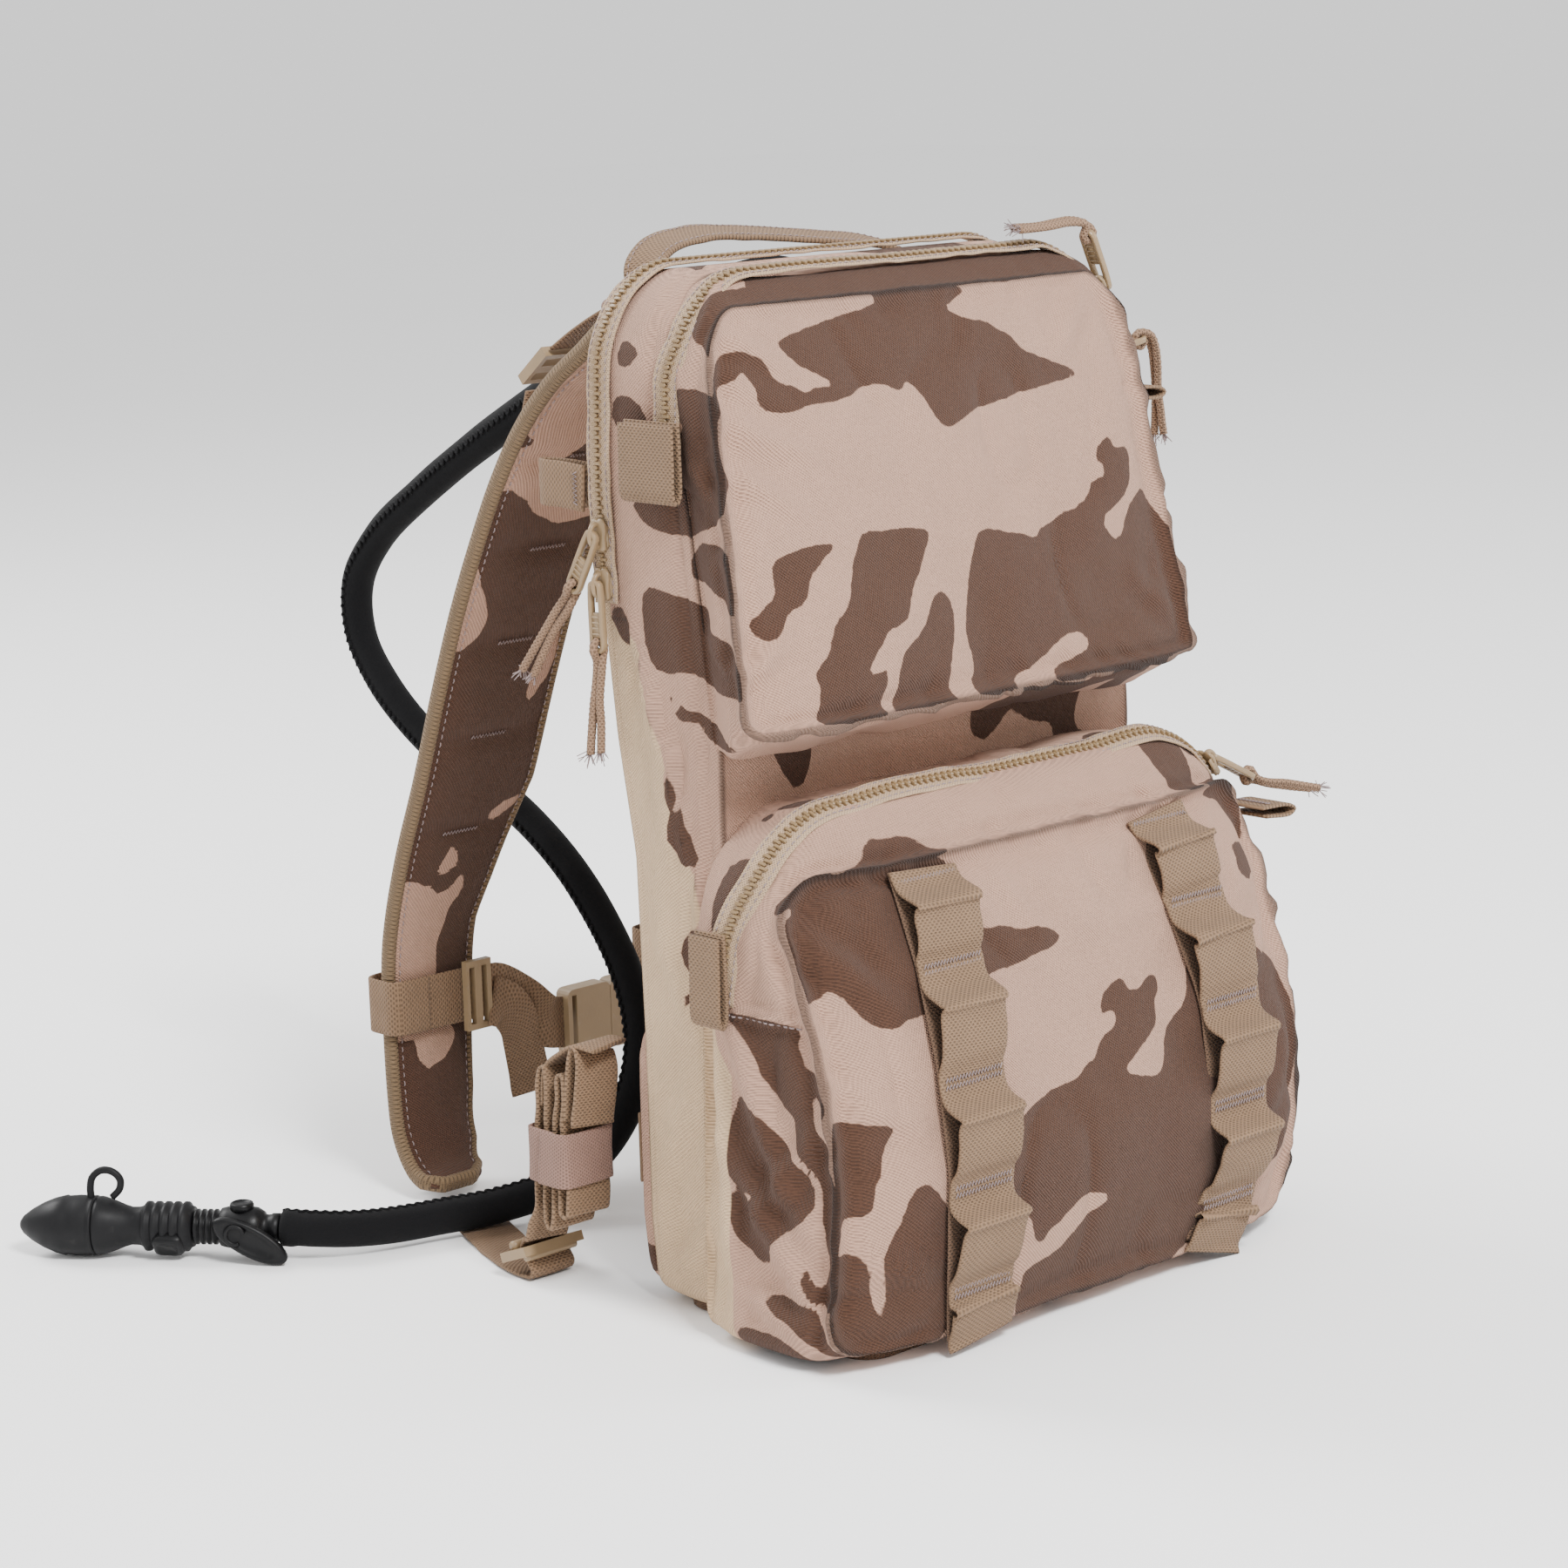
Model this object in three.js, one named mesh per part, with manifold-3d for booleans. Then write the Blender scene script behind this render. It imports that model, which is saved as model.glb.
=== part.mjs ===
// Hydration pack: a small rucksack with two zipped pockets, a padded harness and a drink tube.
// Units are millimetres. +X is the pack's left-to-right, -Y is the pocket side, +Y is the side
// that the wearer's back meets, and +Z is up. The origin is the centre of the base, on the floor.
import * as THREE from 'three';
import { mergeVertices } from 'three/addons/utils/BufferGeometryUtils.js';
import Module from 'manifold-3d';

const wasm = await Module();
wasm.setup();

// Driving dimensions
const GAP = 0.3;
const WALL = 3;
const FLOOR_CLEARANCE = 3.3;
const WEBBING_WIDTH = 25;
const WEBBING_THICKNESS = 1.6;
const POCKET_WEBBING_WIDTH = 38;
const ZIP_WIDTH = 14;
const ZIP_THICKNESS = 1.6;
const ZIP_STAND_OFF = 0.9;
const BACK_PANEL_THICKNESS = 6;
const LUMBAR_THICKNESS = 17;
const STRAP_PAD_THICKNESS = 11;
const STRAP_OUTER_X = 108;
const TUBE_RADIUS = 8;
const MAIN_FRONT_Y = 28;

const COLOURS = {
  camouflage: ['#c9b29c', 0.9],
  tanFabric: ['#b9a78c', 0.9],
  webbing: ['#ab9a7c', 0.85],
  zip: ['#a8986f', 0.7],
  hardware: ['#a89a76', 0.5],
  padding: ['#8f7a66', 0.95],
  film: ['#8fb4c8', 0.35],
  neoprene: ['#141417', 0.9],
  rubber: ['#2b2c2f', 0.55],
};

const model = new THREE.Group();
const UP = new THREE.Vector3(0, 0, 1);
const RIGHT = new THREE.Vector3(1, 0, 0);
const REAR = new THREE.Vector3(0, 1, 0);

const point = (x, y, z) => new THREE.Vector3(x, y, z);

function addPart(name, geometry, finish) {
  const [color, roughness] = COLOURS[finish];
  const mesh = new THREE.Mesh(geometry, new THREE.MeshStandardMaterial({ color, roughness, metalness: 0 }));
  mesh.name = name;
  model.add(mesh);
  return mesh;
}

// Value of a table of [key, value] rows at a key, straight between the rows
function interpolate(table, key) {
  const last = table.length - 1;
  if (key <= table[0][0]) return table[0][1];
  if (key >= table[last][0]) return table[last][1];
  const i = table.findIndex((row) => row[0] > key);
  const [k0, v0] = table[i - 1];
  const [k1, v1] = table[i];
  return v0 + ((v1 - v0) * (key - k0)) / (k1 - k0);
}

// Booleans

function toSolid(geometry) {
  const bare = geometry.clone();
  bare.deleteAttribute('normal');
  bare.deleteAttribute('uv');
  const welded = mergeVertices(bare, 1e-4);
  return new wasm.Manifold(new wasm.Mesh({
    numProp: 3,
    vertProperties: Float32Array.from(welded.attributes.position.array),
    triVerts: Uint32Array.from(welded.index.array),
  }));
}

function fromSolid(solid) {
  const { vertProperties, triVerts } = solid.getMesh();
  const geometry = new THREE.BufferGeometry();
  geometry.setAttribute('position', new THREE.BufferAttribute(vertProperties, 3));
  geometry.setIndex(new THREE.BufferAttribute(triVerts, 1));
  geometry.computeVertexNormals();
  return geometry;
}

const cut = (geometry, ...tools) =>
  fromSolid(tools.reduce((solid, tool) => solid.subtract(toSolid(tool)), toSolid(geometry)));

const join = (first, ...others) =>
  fromSolid(others.reduce((solid, other) => solid.add(toSolid(other)), toSolid(first)));

// Solids from outlines

const TALL = 900;

function box(x0, x1, y0, y1, z0, z1) {
  const geometry = new THREE.BoxGeometry(x1 - x0, y1 - y0, z1 - z0);
  geometry.translate((x0 + x1) / 2, (y0 + y1) / 2, (z0 + z1) / 2);
  return geometry;
}

function extrude(shape, depth, curveSegments = 4) {
  return new THREE.ExtrudeGeometry(shape, { depth, bevelEnabled: false, curveSegments });
}

// Outline drawn in X and Z, solid along Y
function alongY(shape, y0, y1) {
  return extrude(shape, y1 - y0).rotateX(Math.PI / 2).translate(0, y1, 0);
}

// Outline drawn in Y and Z, solid along X
function alongX(shape, x0, x1) {
  const turn = new THREE.Matrix4().makeBasis(REAR, UP, RIGHT);
  return extrude(shape, x1 - x0).applyMatrix4(turn).translate(x0, 0, 0);
}

const polygon = (points) => new THREE.Shape(points.map(([a, b]) => new THREE.Vector2(a, b)));

function roundedRectangle(x0, x1, y0, y1, radius) {
  const shape = new THREE.Shape();
  shape.moveTo(x0 + radius, y0);
  shape.lineTo(x1 - radius, y0);
  shape.quadraticCurveTo(x1, y0, x1, y0 + radius);
  shape.lineTo(x1, y1 - radius);
  shape.quadraticCurveTo(x1, y1, x1 - radius, y1);
  shape.lineTo(x0 + radius, y1);
  shape.quadraticCurveTo(x0, y1, x0, y1 - radius);
  shape.lineTo(x0, y0 + radius);
  shape.quadraticCurveTo(x0, y0, x0 + radius, y0);
  return shape;
}

// A bag volume is what its front outline (X, Z), side profile (Y, Z) and plan (X, Y) share
function bagVolume(front, side, plan) {
  const across = toSolid(alongX(side, -TALL / 2, TALL / 2));
  let solid = toSolid(alongY(front, -TALL / 2, TALL / 2)).intersect(across);
  if (plan) solid = solid.intersect(toSolid(extrude(plan, TALL).translate(0, 0, -TALL / 4)));
  return fromSolid(solid);
}

// Solids swept along paths

// Joins rings of corners, each ring convex and of the same count, into one closed solid
function loft(rings) {
  const count = rings[0].length;
  const positions = rings.flat().flatMap((p) => [p.x, p.y, p.z]);
  const triangles = [];
  for (let r = 0; r < rings.length - 1; r += 1) {
    for (let k = 0; k < count; k += 1) {
      const a = r * count + k;
      const b = r * count + ((k + 1) % count);
      triangles.push(a, b, b + count, a, b + count, a + count);
    }
  }
  const end = (rings.length - 1) * count;
  for (let k = 1; k < count - 1; k += 1) {
    triangles.push(0, k + 1, k);
    triangles.push(end, end + k, end + k + 1);
  }
  if (signedVolume(positions, triangles) < 0) triangles.reverse();
  const geometry = new THREE.BufferGeometry();
  geometry.setAttribute('position', new THREE.Float32BufferAttribute(positions, 3));
  geometry.setIndex(triangles);
  geometry.computeVertexNormals();
  return geometry;
}

function signedVolume(positions, triangles) {
  const corner = (i) => new THREE.Vector3().fromArray(positions, 3 * i);
  let volume = 0;
  for (let t = 0; t < triangles.length; t += 3) {
    const [a, b, c] = [0, 1, 2].map((k) => corner(triangles[t + k]));
    volume += a.dot(b.cross(c)) / 6;
  }
  return volume;
}

function smoothPath(points, steps) {
  return new THREE.CatmullRomCurve3(points, false, 'centripetal').getSpacedPoints(steps);
}

function tangentAt(path, i) {
  const before = path[Math.max(i - 1, 0)];
  const after = path[Math.min(i + 1, path.length - 1)];
  return after.clone().sub(before).normalize();
}

// A flat band: its width runs along `across`, its thickness square to that and to the path
function band(path, { width, thickness, across = RIGHT, chamfer = 0 }) {
  const widthAt = typeof width === 'function' ? width : () => width;
  const acrossAt = typeof across === 'function' ? across : () => across;
  const rings = path.map((centre, i) => {
    const tangent = tangentAt(path, i);
    const normal = acrossAt(i).clone().cross(tangent).normalize();
    const side = acrossAt(i).clone().normalize();
    const w = widthAt(centre, i / (path.length - 1)) / 2;
    const t = thickness / 2;
    const corners = chamfer
      ? [[-w, -t + chamfer], [-w + chamfer, -t], [w - chamfer, -t], [w, -t + chamfer],
        [w, t - chamfer], [w - chamfer, t], [-w + chamfer, t], [-w, t - chamfer]]
      : [[-w, -t], [w, -t], [w, t], [-w, t]];
    return corners.map(([a, b]) => centre.clone().addScaledVector(side, a).addScaledVector(normal, b));
  });
  return loft(rings);
}

// The path moved sideways along its normal, in the plane square to `across`
function offsetPath(path, distance, across = RIGHT) {
  return path.map((centre, i) => {
    const normal = across.clone().cross(tangentAt(path, i)).normalize();
    return centre.clone().addScaledVector(normal, distance);
  });
}

function tube(points, radius, steps, sides) {
  const section = new THREE.Shape();
  section.absarc(0, 0, radius, 0, 2 * Math.PI);
  const path = new THREE.CatmullRomCurve3(points, false, 'centripetal');
  return new THREE.ExtrudeGeometry(section, {
    extrudePath: path,
    steps,
    bevelEnabled: false,
    curveSegments: sides / 2,
  });
}

function turned(profile, segments = 14) {
  return new THREE.LatheGeometry(profile.map(([r, s]) => new THREE.Vector2(r, s)), segments);
}

function mirrored(geometry) {
  const copy = geometry.clone().scale(-1, 1, 1);
  const index = copy.index.array.slice().reverse();
  copy.setIndex(new THREE.BufferAttribute(index, 1));
  return copy;
}

// Outlines of the three compartments. Each is an arch with flat top, curved shoulders and sides
// that lean in, given as half widths at the bottom and at the shoulder.
const MAIN = { bottom: FLOOR_CLEARANCE, lowHalf: 127, highHalf: 127, shoulder: 406, flatHalf: 90, top: 447 };
const UPPER = { bottom: 246, lowHalf: 138, highHalf: 127, shoulder: 404, flatHalf: 86, top: 445 };
const LOWER = { bottom: FLOOR_CLEARANCE, lowHalf: 150, highHalf: 147, shoulder: 179, flatHalf: 97, top: 229 };

// The main compartment's back seam and the wall that it shares with the pockets: [z, y]
const BACK_SEAM = [[0, 73], [38, 77], [117, 77], [200, 79], [250, 88], [305, 94], [360, 97], [405, 95],
  [450, 93]];
const FRONT_WALL = [[0, MAIN_FRONT_Y], [250, MAIN_FRONT_Y], [430, 56], [450, 66]];

const backY = (z) => interpolate(BACK_SEAM, z);

function halfWidth(outline, z) {
  const rows = [[outline.bottom, outline.lowHalf], [outline.shoulder, outline.highHalf]];
  return interpolate(rows, z);
}

// The arch from one side to the other, `out` millimetres outside the outline, starting at startZ
function arch(outline, startZ, out = 0) {
  const { highHalf, shoulder, flatHalf, top } = outline;
  const side = halfWidth(outline, startZ) + out;
  const edge = highHalf + out;
  const roof = top + out;
  const bend = 0.55;
  const bendX = flatHalf + (edge - flatHalf) * bend;
  const bendZ = shoulder + (roof - shoulder) * bend;
  const path = new THREE.Path();
  path.moveTo(-side, startZ);
  path.lineTo(-edge, shoulder);
  path.bezierCurveTo(-edge, bendZ, -bendX, roof, -flatHalf, roof);
  path.lineTo(flatHalf, roof);
  path.bezierCurveTo(bendX, roof, edge, bendZ, edge, shoulder);
  path.lineTo(side, startZ);
  return path;
}

function archShape(outline, inset = 0) {
  const corner = 10;
  const bottom = outline.bottom + inset;
  const side = halfWidth(outline, bottom) - inset;
  const points = arch(outline, bottom + corner, -inset).getPoints(5);
  points.push(new THREE.Vector2(side - corner, bottom), new THREE.Vector2(-side + corner, bottom));
  return new THREE.Shape(points);
}

// Side profile between two lines of [z, y] rows, from one height to another
function sideSlab(front, back, z0, z1) {
  const heights = [...new Set([z0, ...front.map(([z]) => z), ...back.map(([z]) => z), z1])];
  const used = heights.filter((z) => z >= z0 && z <= z1).sort((a, b) => a - b);
  const rise = used.map((z) => [interpolate(front, z), z]);
  const fall = used.reverse().map((z) => [interpolate(back, z), z]);
  return polygon([...rise, ...fall]);
}

const shiftRows = (rows, dy) => rows.map(([z, y]) => [z, y + dy]);

// Main compartment

function buildMainShell() {
  const outer = bagVolume(archShape(MAIN), sideSlab(FRONT_WALL, BACK_SEAM, 0, 450));
  const cavityFront = shiftRows(FRONT_WALL, WALL);
  const cavity = bagVolume(archShape(MAIN, WALL), sideSlab(cavityFront, shiftRows(BACK_SEAM, 5), 0, 450));
  addPart('main_shell', cut(outer, cavity), 'camouflage');
}

function buildBackPanel() {
  const front = shiftRows(BACK_SEAM, GAP);
  const back = shiftRows(BACK_SEAM, GAP + BACK_PANEL_THICKNESS);
  addPart('back_panel', bagVolume(archShape(MAIN), sideSlab(front, back, 0, 450)), 'tanFabric');
}

function buildBasePanel() {
  const shape = roundedRectangle(-122, 122, -58, 72, 12);
  addPart('base_panel', extrude(shape, FLOOR_CLEARANCE - GAP), 'webbing');
}

// The sleeve inside holds the reservoir against the back panel
function buildReservoir() {
  const sleeveFront = shiftRows(BACK_SEAM, -24);
  const sleeveBack = shiftRows(BACK_SEAM, -22);
  const sleeve = bagVolume(polygon([[-118, 16], [118, 16], [118, 300], [-118, 300]]),
    sideSlab(sleeveFront, sleeveBack, 0, 450));
  addPart('reservoir_sleeve', sleeve, 'tanFabric');

  const bladderOutline = roundedRectangle(-95, 95, 16, 396, 30);
  const bladderSide = sideSlab(shiftRows(BACK_SEAM, -21), shiftRows(BACK_SEAM, -1), 0, 450);
  const bladder = bagVolume(bladderOutline, bladderSide);
  addPart('reservoir_bladder', bladder, 'film');

  const capCentreZ = 345;
  const capRadius = 32;
  const capFace = backY(capCentreZ) - 21 - 2;
  const cap = turned([[0, 0], [capRadius, 0], [capRadius, 10], [capRadius - 2, 12], [0, 12]], 20);
  cap.rotateX(Math.PI).translate(0, capFace, capCentreZ);
  addPart('reservoir_fill_cap', cap, 'rubber');
}

// Pockets. Their backs stay open against the main compartment's front wall.

const POCKET_BACK = shiftRows(FRONT_WALL, -GAP);
const UPPER_FRONT = [[246, 24], [256, -4], [263, -9.5], [410, 24.3], [436, 33], [445, 42], [446, 52]];
const LOWER_FRONT = [[3, -59], [12, -65], [45, -71], [85, -72.5], [125, -67], [165, -53], [200, -36],
  [213, -28], [222, -20], [228, -9], [230, 4]];

function buildUpperPocket() {
  const halfPlan = [[136, -20], [138, -4], [130, 30], [128, 70]];
  const plan = polygon([...halfPlan.map(([x, y]) => [-x, y]).reverse(), ...halfPlan]);
  const outer = bagVolume(archShape(UPPER), sideSlab(UPPER_FRONT, POCKET_BACK, 246, 446), plan);
  const cavity = bagVolume(archShape(UPPER, WALL),
    sideSlab(shiftRows(UPPER_FRONT, WALL), shiftRows(POCKET_BACK, 5), 250, 446), plan);
  addPart('upper_pocket', cut(outer, cavity.scale(0.975, 1, 1)), 'camouflage');
}

function buildLowerPocket() {
  const rightPlan = [[76, -73], [120, -69], [146, -55], [150, -42], [147, -10], [140, 40]];
  const leftPlan = rightPlan.map(([x, y]) => [-x, y]).reverse();
  const plan = polygon([...leftPlan, ...rightPlan]);
  const outer = bagVolume(archShape(LOWER), sideSlab(LOWER_FRONT, POCKET_BACK, 3.3, 230), plan);
  const cavity = bagVolume(archShape(LOWER, WALL),
    sideSlab(shiftRows(LOWER_FRONT, WALL), shiftRows(POCKET_BACK, 5), 0, 226), plan);
  addPart('lower_pocket', cut(outer, cavity.scale(0.975, 1, 1)), 'camouflage');
}

// Zips

const MAIN_ZIP_END = 303;
const UPPER_ZIP_END = 366;
const LOWER_ZIP_END = 150;
const UPPER_ZIP_Y = [[404, 51], [422, 44], [438, 38]];
const LOWER_ZIP_Y = [[154, 8], [179, 3], [201, -6], [209, -8]];

const ZIPS = {
  main: { outline: MAIN, startZ: MAIN_ZIP_END, yAt: (z) => backY(z) - 1 },
  upper: { outline: UPPER, startZ: UPPER_ZIP_END, yAt: (z) => interpolate(UPPER_ZIP_Y, z) },
  lower: { outline: LOWER, startZ: LOWER_ZIP_END, yAt: (z) => interpolate(LOWER_ZIP_Y, z) },
};

function buildZipTape(name, { outline, startZ, yAt }) {
  const flat = arch(outline, startZ, ZIP_THICKNESS / 2 + ZIP_STAND_OFF).getPoints(6);
  const path = flat.map(({ x, y: z }) => point(x, yAt(z), z));
  const tape = band(path, { width: ZIP_WIDTH, thickness: ZIP_THICKNESS, across: REAR });
  addPart(name, tape, 'zip');
}

// A slider: a tapered plate with two ears that hold the pull between them. It is drawn with its
// face to +Z, its nose to +Y and its underside at the origin, and then turned into place.
const SLIDER = { width: 10, length: 15, plate: 2.6, ear: 2, earGap: 6.6, earHeight: 4.4 };

function sliderGeometry() {
  const { width, length, plate, ear, earGap, earHeight } = SLIDER;
  const w = width / 2;
  const l = length / 2;
  const plan = polygon([[-w, -l + 4], [-w + 2, -l], [w - 2, -l], [w, -l + 4], [w - 1.5, l], [-w + 1.5, l]]);
  const ears = [-1, 1].map((side) => {
    const x = side * (earGap / 2 + ear / 2);
    return box(x - ear / 2, x + ear / 2, -1.8, 1.8, plate - 0.1, plate + earHeight);
  });
  return join(extrude(plan, plate), ...ears);
}

// A pull: a moulded tab that hangs from the slider's ears. It is drawn with its pivot at the
// origin, lying along -Y, with its face to +Z.
const PULL = { tongue: 3, tab: 8, thickness: 3, tabLength: 28, cordWidth: 6.4, cordThickness: 3.2 };

function pullTab() {
  const { tongue, tab, thickness, tabLength } = PULL;
  const plan = polygon([[-tongue / 2, 1.6], [-tongue / 2, -8], [-tab / 2, -12], [-tab / 2 + 1, -tabLength],
    [tab / 2 - 1, -tabLength], [tab / 2, -12], [tongue / 2, -8], [tongue / 2, 1.6]]);
  return extrude(plan, thickness).translate(0, 0, -thickness / 2);
}

// Places a piece with its face to `out` and its nose along `nose`
function placed(geometry, origin, out, nose) {
  const z = out.clone().normalize();
  const x = nose.clone().cross(z).normalize();
  const y = z.clone().cross(x).normalize();
  const matrix = new THREE.Matrix4().makeBasis(x, y, z).setPosition(origin);
  return geometry.applyMatrix4(matrix);
}

const SLIDER_SEAT = ZIP_THICKNESS + ZIP_STAND_OFF + GAP;
const PIVOT_HEIGHT = SLIDER.plate + 2.4;

// A slider on the curved shoulder of a pocket's zip, at an angle up from the horizontal
function onShoulder({ shoulder, flatHalf, highHalf }, y, degrees) {
  const angle = THREE.MathUtils.degToRad(degrees);
  const radius = highHalf - flatHalf + SLIDER_SEAT;
  const out = point(Math.cos(angle), 0, Math.sin(angle));
  const seat = point(flatHalf, y, shoulder).addScaledVector(out, radius);
  return { seat, out, nose: point(-out.z, 0, out.x) };
}

// Where each slider sits on the zip's face, the way it faces and its nose; the way its pull lies
// and faces; and the cord's run from the tab's end, as steps from one point to the next
function sliderRows() {
  const lean = (UPPER.lowHalf - UPPER.highHalf) / (UPPER.shoulder - UPPER.bottom);
  const upperSideZ = 393;
  const mainSeat = (z) => point(-MAIN.highHalf - SLIDER_SEAT, backY(z) - 1, z);
  const left = point(-1, 0, 0);
  return [
    { name: 'main_zip_slider_upper', seat: mainSeat(337), out: left, nose: point(0, 0.06, 1),
      hang: point(0, 0.5, -0.866), face: left, cord: [[-3, 13, -17], [-2, 15, -21]] },
    { name: 'main_zip_slider_lower', seat: mainSeat(316), out: left, nose: point(0, 0.06, 1),
      hang: point(0, -0.03, -1), face: left, cord: [[-3, 0, -22], [-2, 0, -22]] },
    { name: 'upper_zip_slider_top', ...onShoulder(UPPER, 42, 26),
      hang: point(-0.42, 0, 0.9), face: point(0.9, 0, 0.42), cord: [[-10, 1, 2], [-18, 0, -1], [-17, 0, 0]] },
    { name: 'upper_zip_slider_side', seat: point(halfWidth(UPPER, upperSideZ) + SLIDER_SEAT, 51, upperSideZ),
      out: point(1, 0, lean), nose: point(-lean, 0, 1),
      hang: point(1, -0.1, 0.2), face: point(-0.2, 0, 1), cord: [[4, -1, -8], [2, 0, -20], [1, 0, -20]] },
    { name: 'lower_zip_slider_top', ...onShoulder(LOWER, -8, 34),
      hang: point(0.88, -0.05, -0.46), face: point(0.46, 0, 0.88), cord: [[18, -6, -5], [16, -5, -4]] },
    { name: 'lower_zip_slider_side', seat: point(LOWER.highHalf + SLIDER_SEAT + 0.3, 6, 170),
      out: point(1, 0, 0), nose: point(0, -0.1, 1),
      hang: point(0.06, 0, -1), face: point(1, 0, 0.06), cord: [[3, 0, -20], [2, 0, -22]] },
  ];
}

function buildSliders() {
  for (const { name, seat, out, nose, hang, face, cord } of sliderRows()) {
    addPart(name, placed(sliderGeometry(), seat, out, nose), 'hardware');
    const pivot = seat.clone().addScaledVector(out.clone().normalize(), PIVOT_HEIGHT);
    const along = hang.clone().normalize();
    const run = [pivot.clone().addScaledVector(along, PULL.tabLength - 2)];
    for (const step of cord) run.push(run[run.length - 1].clone().add(point(...step)));
    const across = along.clone().cross(face);
    const loop = band(run, { width: PULL.cordWidth, thickness: PULL.cordThickness, across });
    const tab = placed(pullTab(), pivot, face, along.negate());
    addPart(name.replace('slider', 'pull'), join(tab, loop), 'webbing');
  }
}

// Folded webbing tabs at the ends of the pocket zips, and the loops behind the main zip

function foldedTab(points, width, across) {
  const path = points.map(([x, y, z]) => point(x, y, z));
  return band(path, { width, thickness: WEBBING_THICKNESS, across });
}

function buildTabs() {
  const upperX = halfWidth(UPPER, 375) + 4.6;
  const hang = (x, y, top, drop, depth, width) => foldedTab([[x, y, top], [x, y, top - drop + 2],
    [x - depth / 2, y, top - drop], [x - depth, y, top - drop + 2], [x - depth, y, top - 4]], width, REAR);
  addPart('upper_zip_tab_left', hang(-upperX, 56, 388, 34, 3.4, 34), 'webbing');
  addPart('lower_zip_tab_left', hang(-151.5, 10, 182, 40, 3.4, 18), 'webbing');

  const jut = (x, y, z, reach, depth, width) => foldedTab([[x, y, z], [x + reach - 2, y, z - 2],
    [x + reach, y, z - depth / 2 - 2], [x + reach - 2, y, z - depth - 2], [x + 3, y, z - depth]],
  width, REAR);
  addPart('upper_zip_tab_right', jut(134, 44, 379, 24, 3.4, 28), 'webbing');
  addPart('lower_zip_tab_right', jut(150.5, -22, 190, 22, 3.4, 24), 'webbing');

  const loopStart = backY(354) + GAP + BACK_PANEL_THICKNESS + 0.5;
  const rearLoop = band([[-122, loopStart, 356], [-123, loopStart + 30, 357], [-126, loopStart + 33, 357],
    [-129, loopStart + 30, 357], [-129, loopStart + 3, 356]].map(([x, y, z]) => point(x, y, z)),
  { width: 20, thickness: WEBBING_THICKNESS, across: UP });
  addPart('rear_loop_left', rearLoop, 'webbing');
  addPart('rear_loop_right', mirrored(rearLoop), 'webbing');
}

// Webbing on the lower pocket: a strip sewn down at bartacks that stands off in a loop between
// each pair

const TACK_HEIGHTS = [202, 165, 120, 75, 30, 5];
const LOOP_RISE = 9;
const STRIP_SEAT = 3;

const lowerFaceY = (z) => interpolate(LOWER_FRONT, z);

// How far each strip bows outwards where the full pocket pushes it
const STRIP_X = 73;
const STRIP_BOW = { left: 6, right: 12 };
const BOW_SHARE = [[0, 0], [45, 1], [120, 1], [202, 0]];

function stripGeometry(side) {
  const outward = side === 'left' ? -1 : 1;
  const stripX = (z) => outward * (STRIP_X + STRIP_BOW[side] * interpolate(BOW_SHARE, z));
  const share = [0, 0.16, 0.3, 0.68, 0.86];
  const rise = [0, 0, LOOP_RISE, LOOP_RISE, 0];
  const path = [];
  for (let i = 0; i < TACK_HEIGHTS.length - 1; i += 1) {
    const top = TACK_HEIGHTS[i];
    share.forEach((s, k) => {
      const z = top - s * (top - TACK_HEIGHTS[i + 1]);
      path.push(point(stripX(z), lowerFaceY(z) - STRIP_SEAT - rise[k], z));
    });
  }
  const last = TACK_HEIGHTS[TACK_HEIGHTS.length - 1];
  path.push(point(stripX(last), lowerFaceY(12) - STRIP_SEAT, last));
  return band(path, { width: POCKET_WEBBING_WIDTH, thickness: WEBBING_THICKNESS });
}

function buildPocketWebbing() {
  for (const side of ['left', 'right']) addPart(`pocket_webbing_${side}`, stripGeometry(side), 'webbing');
}

// Carrying parts

function buildHandle() {
  const half = [[0, 127, 452.5], [40, 126, 451], [68.5, 122, 447], [79.5, 117, 440.3], [82, 115, 430]];
  const other = half.slice(1).reverse().map(([x, y, z]) => [-x, y, z]);
  const path = smoothPath([...other, ...half].map(([x, y, z]) => point(x, y, z)), 20);
  addPart('grab_handle', band(path, { width: 19, thickness: 2.2, across: point(0, 0.9, 0.42) }), 'webbing');
}

// Shoulder pad centre line, from the top of the back panel to the free lower end: [y, z]
const PAD_LINE = [[111, 425], [128, 412], [150, 397], [172, 376], [191, 350], [208, 320], [224, 288],
  [240, 250], [257, 206], [274, 166], [285, 132], [288.5, 112], [289, 50], [286, 28], [276, 13], [262, 8]];
const PAD_WIDTH = [[8, 34], [20, 42], [45, 46], [130, 50], [150, 56], [200, 68], [440, 70]];

function padPath() {
  return smoothPath(PAD_LINE.map(([y, z]) => point(0, y, z)), 26);
}

function buildShoulderStraps() {
  const path = padPath();
  const widthAt = (centre) => interpolate(PAD_WIDTH, centre.z);
  const centred = path.map((p) => point(-STRAP_OUTER_X + widthAt(p) / 2, p.y, p.z));
  const pad = band(centred, { width: widthAt, thickness: STRAP_PAD_THICKNESS, chamfer: 3 });
  addPart('shoulder_pad_left', pad, 'padding');
  addPart('shoulder_pad_right', mirrored(pad), 'padding');
}

// Webbing on the outer face of the pad, from the ladder lock to the pad's lower end
const LOCK = { x: -63.5, y: 200, z: 399 };

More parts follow.
